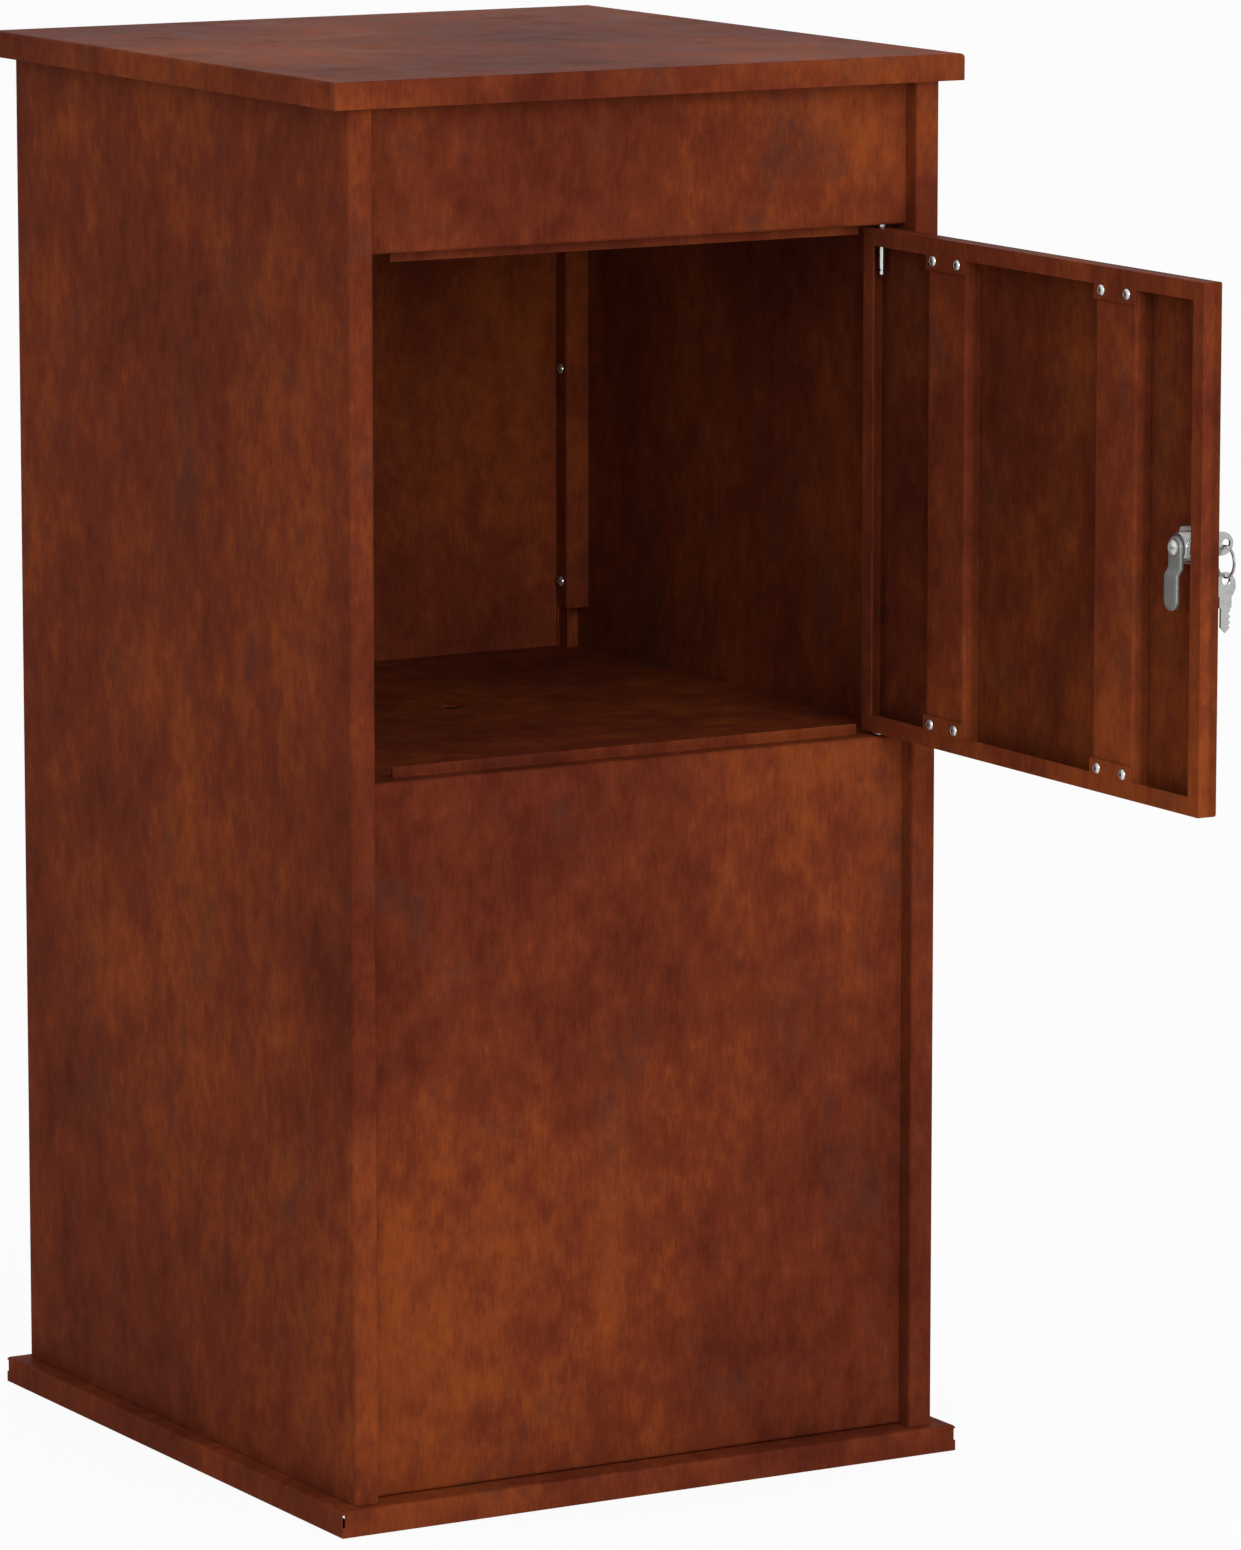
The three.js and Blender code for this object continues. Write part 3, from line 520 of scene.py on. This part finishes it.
def skin(name, surfaces, materials):
    """One mesh object from grids of points, rows x columns x 3. Columns close into a ring, rows
    close too where the second entry says so, and a row that shrinks to a point becomes a pole.
    The third entry is the place of the surface's material."""
    points, faces, places = [], [], []
    start = 0
    for grid, loop, place in surfaces:
        rows, columns = grid.shape[:2]
        index = start + np.arange(rows * columns).reshape(rows, columns)
        here = index if loop else index[:-1]
        above = np.roll(index, -1, 0) if loop else index[1:]
        corners = (here, np.roll(here, -1, 1), np.roll(above, -1, 1), above)
        quads = np.stack(corners, axis=-1).reshape(-1, 4)
        points.append(grid.reshape(-1, 3))
        faces.append(quads)
        places.append(np.full(len(quads), place))
        start += rows * columns
    mesh = bpy.data.meshes.new(name)
    mesh.from_pydata(np.concatenate(points).tolist(), [], np.concatenate(faces).tolist())
    mesh.polygons.foreach_set("material_index", np.concatenate(places).astype(np.int32))
    mesh.polygons.foreach_set("use_smooth", np.ones(len(mesh.polygons), bool))
    edit = bmesh.new()
    edit.from_mesh(mesh)
    bmesh.ops.remove_doubles(edit, verts=edit.verts, dist=MERGE_DISTANCE)
    bmesh.ops.recalc_face_normals(edit, faces=edit.faces)
    edit.to_mesh(mesh)
    edit.free()
    mesh.set_sharp_from_angle(angle=SHARP_ANGLE)
    for material in materials:
        mesh.materials.append(material)
    piece = bpy.data.objects.new(name, mesh)
    bpy.context.scene.collection.objects.link(piece)
    return piece


def place_piece(piece, body, nodes):
    """Let a piece ride on a body, in place of the CAD nodes that it remakes."""
    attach(piece, body)
    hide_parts(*nodes)


def rivet_row(name, nodes, axis, body, hardware):
    """A row of blind rivets. A profile runs from the pulled tail along the shank to a domed head,
    dome height = head * sqrt(1 - share squared) with share measured from the eye to the rim,
    then over the eye's rolled lip and down to the broken mandrel."""
    boxes = np.array([box(node) for node in nodes])
    axis = np.asarray(axis, float)
    spans = (boxes[:, 1] - boxes[:, 0])[0]
    length = spans @ np.abs(axis)
    across = np.sort(spans)[-2] / 2
    tops = boxes.mean(axis=1) + axis * length / 2
    head = hardware.rivet_head
    eye = hardware.rivet_eye / 2
    tail = hardware.rivet_tail
    shank = 0.49 * across
    bulb = 0.76 * across
    rim = 0.1 * MM
    lip = 0.08 * MM
    lip_depth = 0.09 * MM
    share = np.linspace(1, 0.12, 12)
    dome = np.stack([eye + (across - eye) * share, head * (np.sqrt(1 - share**2) - 1)], axis=1)
    swell = np.linspace(0, np.pi, 9)
    pulled_radius = shank + (bulb - shank) * np.sin(swell)
    pulled = np.stack([pulled_radius, tail * (swell / np.pi) - length], axis=1)
    body_rows = np.concatenate([
        [(0, -length)],
        pulled,
        [(shank, -head), (across - rim, -head)],
        dome,
        arc(eye + lip, -lip_depth, lip, 60, 180),
    ])
    mandrel = ((eye * 0.93, -0.75 * MM), (eye * 0.5, -0.6 * MM), (0, -0.66 * MM))
    core_rows = np.array([(eye, -lip_depth), *mandrel])
    surfaces = []
    for rows, place in ((body_rows, 0), (core_rows, 1)):
        grid = turned(rows, (0, 0, 0), axis, RIVET_COLUMNS)
        surfaces += [(grid + top, False, place) for top in tops]
    bright = metal("zinc_rivet", hardware.zinc, EVEN_BRUSHING, roughness=0.26, metallic=0.75)
    # The mandrel's dark metal, darkened further to paint the shade inside the rivet's eye.
    dark = metal("rivet_mandrel_and_shade", hardware.core, EVEN_BRUSHING, roughness=0.5)
    piece = skin(name, surfaces, (bright, dark))
    place_piece(piece, body, nodes)


def nodes_named(start):
    """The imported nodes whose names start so, in order."""
    return sorted(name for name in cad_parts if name.startswith(start))


class MAILBOX_OT_coat_cabinet(bpy.types.Operator):
    """Coat the cabinet's folded sheets"""

    bl_idname = "mailbox.coat_cabinet"
    bl_label = "Coat cabinet"

    def execute(self, context):
        coat = context.scene.mailbox_coat
        coat_nodes(CABINET_SHEETS, rust_coat("cabinet_coat", coat, CABINET_PATTERN))
        return {"FINISHED"}


class MAILBOX_OT_coat_door(bpy.types.Operator):
    """Coat the door's shell and stiffeners, with painted shade on the recessed sheet"""

    bl_idname = "mailbox.coat_door"
    bl_label = "Coat door"

    def execute(self, context):
        coat = context.scene.mailbox_coat
        low, high = box("door_shell")
        # Painted shade goes on the recessed sheet, inset from the door shell's faces along X.
        painted_shade_span = (low[0] + PAINTED_SHADE_NEAR_INSET, high[0] - PAINTED_SHADE_FAR_INSET)
        coat_nodes(DOOR_SHEETS, rust_coat("door_coat", coat, DOOR_PATTERN, painted_shade_span))
        return {"FINISHED"}


class MAILBOX_OT_make_rivets(bpy.types.Operator):
    """Make the blind rivets of the rear corners and of the door's stiffeners"""

    bl_idname = "mailbox.make_rivets"
    bl_label = "Make rivets"

    def execute(self, context):
        hardware = context.scene.mailbox_hardware
        for side, inward in (("left", 1), ("right", -1)):
            nodes = nodes_named(f"rear_rivet_{side}_")
            rivet_row(f"rear_rivets_{side}", nodes, (inward, 0, 0), "cabinet", hardware)
        for edge in ("upper", "lower"):
            nodes = nodes_named(f"door_rivet_{edge}_")
            rivet_row(f"door_rivets_{edge}", nodes, (-1, 0, 0), "door", hardware)
        return {"FINISHED"}


class MAILBOX_OT_make_pins(bpy.types.Operator):
    """Make the two hinge pins"""

    bl_idname = "mailbox.make_pins"
    bl_label = "Make hinge pins"

    def execute(self, context):
        colour = context.scene.mailbox_hardware.zinc
        zinc = metal("zinc_pin", colour, PIN_BRUSHING, roughness=0.2)
        self.make_top(zinc)
        self.make_bottom(zinc)
        return {"FINISHED"}

    def make_top(self, zinc):
        """Turned along Z: a rounded tip, a groove, a straight shank and a soft-rimmed flat head."""
        low, high = box("hinge_pin_top")
        middle = (low + high) / 2
        head = (high - low)[0] / 2
        shank = head / 2
        tip = 1.2 * MM
        rim = 0.4 * MM
        head_height = 1.5 * MM
        groove_radius = 0.6 * MM
        groove = low[2] + 2.5 * MM
        seat = high[2] - head_height
        profile = np.concatenate([
            [(0, low[2])],
            arc(shank - tip, low[2] + tip, tip, -90, 0, 7),
            [(shank, groove - 0.1 * MM)],
            arc(shank, groove + groove_radius, groove_radius, 270, 90, 9),
            [(shank, groove + 1.3 * MM), (shank, seat), (head - 0.3 * MM, seat)],
            arc(head - rim, high[2] - rim, rim, 0, 90, 6),
            [(0, high[2])],
        ])
        grid = turned(profile, (middle[0], middle[1], 0), (0, 0, 1), ROUND_COLUMNS)
        piece = skin("top_pin", [(grid, False, 0)], (zinc,))
        place_piece(piece, "cabinet", ["hinge_pin_top"])

    def make_bottom(self, zinc):
        """Turned along Z: a staked foot, a shank, the collar that carries the door, a round tip."""
        low, high = box("hinge_pin_bottom")
        middle = (low + high) / 2
        head = (high - low)[0] / 2
        shank = head / 2
        rim = 0.4 * MM
        soft = 0.2 * MM
        tip = 1 * MM
        foot_top = low[2] + 1.5 * MM
        collar_top = high[2] - 6.3 * MM
        collar_low = collar_top - 1.4 * MM
        profile = np.concatenate([
            [(0, low[2])],
            arc(head - rim, low[2] + rim, rim, -90, 0, 6),
            [(head, foot_top), (shank, foot_top), (shank, collar_low)],
            [(head - soft, collar_low)],
            arc(head - soft, collar_low + soft, soft, -90, 0, 4),
            arc(head - soft, collar_top - soft, soft, 0, 90, 4),
            [(shank, collar_top)],
            arc(shank - tip, high[2] - tip, tip, 0, 90, 7),
            [(0, high[2])],
        ])
        grid = turned(profile, (middle[0], middle[1], 0), (0, 0, 1), ROUND_COLUMNS)
        piece = skin("bottom_pin", [(grid, False, 0)], (zinc,))
        place_piece(piece, "cabinet", ["hinge_pin_bottom"])


class MAILBOX_OT_make_lock(bpy.types.Operator):
    """Make the lock's housing, square nut, cam and screw, and finish its plug"""

    bl_idname = "mailbox.make_lock"
    bl_label = "Make lock"

    def execute(self, context):
        hardware = context.scene.mailbox_hardware
        zinc = metal("zinc_lock", hardware.zinc, UPRIGHT_BRUSHING, roughness=0.3, metallic=0.5)
        nickel = metal("nickel_lock", hardware.nickel, EVEN_BRUSHING, roughness=0.2, metallic=0.85)
        satin = metal("satin_cam", hardware.satin, UPRIGHT_BRUSHING, roughness=0.46, metallic=0.7)
        self.make_housing(nickel, hardware)
        self.make_nut(zinc)
        self.make_cam(satin)
        self.make_screw(zinc)
        coat_nodes(("lock_plug",), nickel)
        return {"FINISHED"}

    def make_housing(self, nickel, hardware):
        """Turned along X: a rounded bezel, then a barrel whose radius drops by half a cosine of
        (along / pitch - angle / full turn), which is a thread, then the bore back to the front."""
        low, high = box("lock_housing")
        middle = (low + high) / 2
        head = (high - low)[1] / 2
        barrel = 8 * MM
        bore = 5.5 * MM
        bezel_round = 1.4 * MM
        front_chamfer = 0.4 * MM
        back_chamfer = 0.5 * MM
        bore_chamfer = 0.2 * MM
        shoulder = high[0] - 2.5 * MM
        thread_along = np.linspace(shoulder - 1 * MM, low[0] + back_chamfer, 110)
        before = np.concatenate([
            [(bore, high[0] - front_chamfer), (bore + front_chamfer, high[0])],
            [(head * 0.72, high[0])],
            arc(head - bezel_round, high[0] - bezel_round, bezel_round, 80, 0, 8),
            [(head, shoulder), (barrel, shoulder)],
        ])
        threaded = np.stack([np.full(len(thread_along), barrel), thread_along], axis=1)
        after = np.array([
            (barrel - back_chamfer, low[0]),
            (bore + bore_chamfer, low[0]),
            (bore, low[0] + bore_chamfer),
        ])
        profile = np.concatenate([before, threaded, after])
        grid = turned(profile, (0, middle[1], middle[2]), (1, 0, 0), ROUND_COLUMNS)
        angle = np.linspace(0, 1, ROUND_COLUMNS, endpoint=False)
        turns = thread_along[:, None] / hardware.thread_pitch - angle
        drop = hardware.thread_depth * (0.5 - 0.5 * np.cos(2 * np.pi * turns))
        rows = slice(len(before), len(before) + len(threaded))
        spokes = grid[rows, :, 1:] - middle[1:]
        grid[rows, :, 1:] -= spokes / barrel * drop[..., None]
        piece = skin("lock_barrel", [(grid, True, 0)], (nickel,))
        place_piece(piece, "door", ["lock_housing"])

    def make_nut(self, zinc):
        """A square ring along X: at angle u the outer edge lies at half / max(|cos u|, |sin u|),
        cut off at the corners, and its rows run round the square section with soft edges."""
        low, high = box("lock_nut")
        middle = (low + high) / 2
        half = (high - low)[1] / 2
        angle = np.linspace(0, 2 * np.pi, 96, endpoint=False)
        square = half / np.maximum(np.abs(np.cos(angle)), np.abs(np.sin(angle)))
        outer = np.minimum(square, half * 1.3)
        bore = np.full_like(angle, 8.2 * MM)
        soft = 0.35 * MM
        shoulder = 0.1 * MM
        rows = (
            (bore, low[0] + soft),
            (bore + soft, low[0]),
            (outer - 2 * soft, low[0]),
            (outer - soft, low[0] + shoulder),
            (outer, low[0] + 2.2 * soft),
            (outer, high[0] - soft),
            (outer - soft, high[0]),
            (bore + soft, high[0]),
            (bore, high[0] - soft),
        )
        ring = np.stack([np.zeros_like(angle), np.cos(angle), np.sin(angle)], axis=1)
        centre = np.array((0, middle[1], middle[2]))
        grid = np.array([centre + reach[:, None] * ring + (along, 0, 0) for reach, along in rows])
        piece = skin("square_nut", [(grid, True, 0)], (zinc,))
        place_piece(piece, "door", ["lock_nut"])

    def make_cam(self, satin):
        """A cranked plate: rows spread from the middle line by a growing reach out to a round-ended
        outline, over a soft edge and back, and a smooth step along Z sets the lower end inward."""
        low, high = box("lock_cam")
        half = (high - low)[1] / 2
        across = (low[1] + high[1]) / 2
        half_thickness = 1 * MM
        soft = 0.3 * MM
        crank_start = 10.5 * MM
        crank_run = 5 * MM
        top = high[2] - half
        bottom = low[2] + half
        bend = np.radians(np.linspace(0, 180, 25))
        run = np.linspace(0, 1, 41)[1:-1]
        ends = np.ones_like(bend)
        sides = np.ones_like(run)
        down = top + (bottom - top) * run
        back_up = bottom + (top - bottom) * run
        line_z = np.concatenate([top * ends, down, bottom * ends, back_up])
        out_y = np.concatenate([np.cos(bend), -sides, -np.cos(bend), sides])
        out_z = np.concatenate([np.sin(bend), 0 * sides, -np.sin(bend), 0 * sides])
        edge = np.radians(np.linspace(90, -90, 9))
        rim = half - soft + soft * np.cos(edge)
        reach = np.concatenate([[0, 0.5 * half], rim, [0.5 * half, 0]])
        round_edge = (half_thickness - soft) * np.sign(np.sin(edge)) + soft * np.sin(edge)
        level = np.concatenate([[half_thickness] * 2, round_edge, [-half_thickness] * 2])
        y = across + reach[:, None] * out_y
        z = line_z + reach[:, None] * out_z
        offset = high[0] - low[0] - 2 * half_thickness
        crank = offset * smooth_step(top - z, crank_start, crank_start + crank_run)
        x = high[0] - half_thickness - crank - level[:, None]
        piece = skin("cranked_cam", [(np.stack([x, y, z], axis=-1), False, 0)], (satin,))
        place_piece(piece, "lock_cylinder", ["lock_cam"])

    def make_screw(self, zinc):
        """Turned along -X: a shank and a domed head, sunk by a smooth step at the slot."""
        low, high = box("cam_screw")
        middle = (low + high) / 2
        head = (high - low)[1] / 2
        length = high[0] - low[0]
        head_height = 2.4 * MM
        seat = length - head_height
        shank = 1.6 * MM
        chamfer = 0.2 * MM
        slot_half = 0.75 * MM
        slot_edge = 0.25 * MM
        slot_depth = 0.9 * MM
        share = np.linspace(0, 1, 26)[::-1]
        dome = np.stack([head * share, length - head_height * 0.55 * share**4], axis=1)
        below = np.array([
            (0, 0),
            (shank - chamfer, 0),
            (shank, 0.3 * MM),
            (shank, seat),
            (head - chamfer, seat),
            (head, seat + chamfer),
        ])
        profile = np.concatenate([below, dome])
        grid = turned(profile, (high[0], middle[1], middle[2]), (-1, 0, 0), 120)
        face = grid[len(below):]
        from_slot = np.abs(face[..., 2] - middle[2])
        inside_rim = (dome[:, 0] < 0.97 * head)[:, None]
        face[..., 0] += slot_depth * smooth_step(slot_half - from_slot, 0, slot_edge) * inside_rim
        piece = skin("cam_head_screw", [(grid, False, 0)], (zinc,))
        place_piece(piece, "lock_cylinder", ["cam_screw"])


class MAILBOX_OT_make_keys(bpy.types.Operator):
    """Make the key in the lock, the spare key and their split ring"""

    bl_idname = "mailbox.make_keys"
    bl_label = "Make keys"

    def execute(self, context):
        colour = context.scene.mailbox_hardware.nickel
        nickel = metal("nickel_key", colour, KEY_BRUSHING, roughness=0.2, metallic=0.85)
        eye_inset = 4.5 * MM
        low, high = box("key")
        middle = (low + high) / 2
        eye = np.array((high[0] - eye_inset, middle[1], middle[2]))
        self.make_key("lock_key", nickel, eye, (-1, 0, 0), (0, 0, 1), "key", "key")
        low, high = box("spare_key")
        middle = (low + high) / 2
        eye = np.array((middle[0], middle[1], high[2] - eye_inset))
        directions = ((0, 0, -1), (-1, 0, 0))
        self.make_key("hanging_key", nickel, eye, *directions, "key_ring_set", "spare_key")
        self.make_ring(nickel)
        return {"FINISHED"}

    def make_key(self, name, nickel, eye, along, upward, body, node):
        """A flat key: a bow and a blade that share the eye's place and the key's two directions."""
        along = np.asarray(along, float)
        upward = np.asarray(upward, float)
        flat = np.cross(along, upward)
        half = 0.9 * MM
        surfaces = []
        for grid, loop in ((self.bow(half), True), (self.blade(half), False)):
            length, height, level = (grid[..., [axis]] for axis in range(3))
            surfaces.append((eye + length * along + height * upward + level * flat, loop, 0))
        piece = skin(name, surfaces, (nickel,))
        place_piece(piece, body, [node])

    def bow(self, half):
        """A flat ring between a round eye and the ellipse (centre + a * cos u, b * sin u), with
        soft edges, as (length, height, level) from the eye."""
        soft = 0.25 * MM
        eye_radius = 2.5 * MM
        centre, half_length, half_width = 3 * MM, 7.5 * MM, 6.5 * MM
        angle = np.linspace(0, 2 * np.pi, 72, endpoint=False)
        inner = eye_radius * np.stack([np.cos(angle), np.sin(angle)], axis=1)
        outer = np.stack([centre + half_length * np.cos(angle), half_width * np.sin(angle)], axis=1)
        share = np.array([0, 0.06, 0.95, 1, 1, 0.95, 0.06, 0])
        side = half - soft
        level = np.array([side, half, half, side, -side, -half, -half, -side])
        spread = inner + share[:, None, None] * (outer - inner)
        level = np.broadcast_to(level[:, None, None], (len(share), len(angle), 1))
        return np.concatenate([spread, level], axis=-1)

    def blade(self, half):
        """A tube whose half width follows the neck, the shoulder, a row of bites and the point, and
        whose half thickness drops by a bell curve in a groove along each face."""
        start, shoulder, point = 9 * MM, 15 * MM, 28.5 * MM
        neck_half, blade_half, point_half = 4 * MM, 3 * MM, 0.05 * MM
        first_bite, last_bite = 17 * MM, 25.5 * MM
        bite_pitch, bite_land = 3.2 * MM, 0.4 * MM
        groove_depth, groove_place, groove_width = 0.45, 0.15, 0.16
        length = np.linspace(start, point, 140)
        width = np.where(length < shoulder, neck_half, blade_half)
        width = np.minimum(width, point - length + point_half)
        saw = np.abs((length - shoulder) % bite_pitch - bite_pitch / 2)
        bitten = (length > first_bite) & (length < last_bite)
        bites = np.where(bitten, np.clip(saw - bite_land, 0, None), 0)
        angle = np.linspace(0, 2 * np.pi, 40, endpoint=False)
        across = squared_wave(np.cos(angle), 0.35)
        face = squared_wave(np.sin(angle), 0.2)
        groove = 1 - groove_depth * np.exp(-(((across - groove_place) / groove_width) ** 2))
        thick = np.where(length[:, None] > shoulder, groove, 1) * half * 0.96
        height = np.where(across > 0, width[:, None], (width - bites)[:, None]) * across
        length = np.broadcast_to(length[:, None], height.shape)
        return closed_tube(np.stack([length, height, thick * face], axis=-1))

    def make_ring(self, nickel):
        """A split ring: a rounded flat section carried twice round a circle in the YZ plane,
        stepping sideways from one turn to the other by a smooth step half way."""
        low, high = box("key_ring")
        middle = (low + high) / 2
        wire = (high - low)[0] / 2
        radius = (high - low)[2] / 2 - wire
        split = 0.35
        turn = np.linspace(split, 4 * np.pi - split, 220)
        half_way = 2 * np.pi
        aside = wire * (smooth_step(turn, half_way - split, half_way + split) - 0.5)
        section = np.linspace(0, 2 * np.pi, 20, endpoint=False)
        wide = squared_wave(np.cos(section), 0.6) * wire * 0.47
        tall = squared_wave(np.sin(section), 0.6) * wire * 0.95
        x = middle[0] + aside[:, None] + wide
        reach = radius + tall
        y = middle[1] + reach * np.sin(turn)[:, None]
        z = middle[2] - reach * np.cos(turn)[:, None]
        tube = closed_tube(np.stack([x, y, z], axis=-1))
        piece = skin("split_ring", [(tube, False, 0)], (nickel,))
        place_piece(piece, "key_ring_set", ["key_ring"])


class MAILBOX_OT_make_stage(bpy.types.Operator):
    """Make the white floor, the soft lamps, the even sky and the camera"""

    bl_idname = "mailbox.make_stage"
    bl_label = "Make stage"

    def execute(self, context):
        stage = context.scene.mailbox_stage
        context.scene.view_settings.view_transform = "Standard"
        self.make_floor(stage)
        self.make_sky(context, stage)
        overhead = (OVERHEAD_PLACE, OVERHEAD_TARGET, OVERHEAD_SIZE)
        self.make_lamp("overhead_lamp", stage.overhead, *overhead)
        self.make_lamp("front_lamp", stage.front, FRONT_PLACE, FRONT_TARGET, FRONT_SIZE)
        camera = bpy.data.objects.new("camera", bpy.data.cameras.new("camera"))
        camera.data.lens = stage.lens
        camera.data.sensor_width = SENSOR_MM
        camera.location = stage.eye
        camera.rotation_euler = (math.pi / 2 - stage.tilt, 0, -stage.turn)
        context.scene.collection.objects.link(camera)
        context.scene.camera = camera
        return {"FINISHED"}

    def make_floor(self, stage):
        """A flat square of points just below height 0. What the eye and reflections see of it is
        mostly plain white, with enough of the lit floor left in it for a soft shadow."""
        side = np.array((-FLOOR_HALF, FLOOR_HALF))
        x, y = np.meshgrid(side, side)
        points = np.stack([x, y, np.full_like(x, -FLOOR_DROP)], axis=-1).reshape(-1, 3)
        mesh = bpy.data.meshes.new("floor")
        mesh.from_pydata(points.tolist(), [], [(0, 1, 3, 2)])
        floor = bpy.data.objects.new("floor", mesh)
        bpy.context.scene.collection.objects.link(floor)
        material, nodes = new_material("floor_white")
        lit = nodes.add("ShaderNodeBsdfDiffuse", None, {"Color": (*stage.floor, 1)})
        white = nodes.add("ShaderNodeEmission", None, {"Color": (1, 1, 1, 1), "Strength": 1})
        share = self.seen(nodes) * FLOOR_WHITE
        nodes.finish(nodes.add("ShaderNodeMixShader", None, {0: share, 1: lit, 2: white}))
        mesh.materials.append(material)

    def seen(self, nodes):
        """1 where the eye, a reflection or a ray through glass looks, else 0."""
        camera = nodes.add("ShaderNodeLightPath", output="Is Camera Ray")
        glossy = nodes.add("ShaderNodeLightPath", output="Is Glossy Ray")
        through = nodes.add("ShaderNodeLightPath", output="Is Transmission Ray")
        either = {0: camera, 1: glossy + through}
        return nodes.add("ShaderNodeMath", {"operation": "MAXIMUM"}, either)

    def make_sky(self, context, stage):
        """An even white sky that lights by its own strength and looks plain white."""
        world = bpy.data.worlds.new("white_sky")
        world.use_nodes = True
        context.scene.world = world
        nodes = Nodes(world.node_tree)
        strength = stage.ambient + self.seen(nodes) * (1 - stage.ambient)
        sky = nodes.add("ShaderNodeBackground", None, {"Color": (1, 1, 1, 1), "Strength": strength})
        nodes.add("ShaderNodeOutputWorld", None, {"Surface": sky})

    def make_lamp(self, name, power, place, target, size):
        """A square soft lamp that faces a point."""
        light = bpy.data.lights.new(name, "AREA")
        light.energy = power
        light.size = size
        lamp = bpy.data.objects.new(name, light)
        lamp.location = place
        aim = np.array(target) - np.array(place)
        tilt = math.atan2(math.hypot(aim[0], aim[1]), -aim[2])
        lamp.rotation_euler = (tilt, 0, math.atan2(-aim[0], aim[1]))
        bpy.context.scene.collection.objects.link(lamp)


STEPS = (
    MAILBOX_OT_make_stage,
    MAILBOX_OT_coat_cabinet,
    MAILBOX_OT_coat_door,
    MAILBOX_OT_make_rivets,
    MAILBOX_OT_make_pins,
    MAILBOX_OT_make_lock,
    MAILBOX_OT_make_keys,
)
SETTINGS = {
    "mailbox_coat": CoatSettings,
    "mailbox_hardware": HardwareSettings,
    "mailbox_stage": StageSettings,
}


class MAILBOX_PT_panel(bpy.types.Panel):
    """The mailbox's settings and steps"""

    bl_idname = "MAILBOX_PT_panel"
    bl_label = "Mailbox"
    bl_space_type = "VIEW_3D"
    bl_region_type = "UI"
    bl_category = "Mailbox"

    def draw(self, context):
        for step in STEPS:
            self.layout.operator(step.bl_idname)
        for name, group in SETTINGS.items():
            column = self.layout.box().column()
            for prop in group.__annotations__:
                column.prop(getattr(context.scene, name), prop)


CLASSES = (*SETTINGS.values(), *STEPS, MAILBOX_PT_panel)


def register():
    for item in CLASSES:
        bpy.utils.register_class(item)
    for name, group in SETTINGS.items():
        setattr(bpy.types.Scene, name, PointerProperty(type=group))


def unregister():
    for name in SETTINGS:
        delattr(bpy.types.Scene, name)
    for item in reversed(CLASSES):
        bpy.utils.unregister_class(item)


def main():
    register()
    bpy.ops.mailbox.make_stage()
    bpy.ops.mailbox.coat_cabinet()
    bpy.ops.mailbox.coat_door()
    bpy.ops.mailbox.make_rivets()
    bpy.ops.mailbox.make_pins()
    bpy.ops.mailbox.make_lock()
    bpy.ops.mailbox.make_keys()


if __name__ == "__main__":
    main()
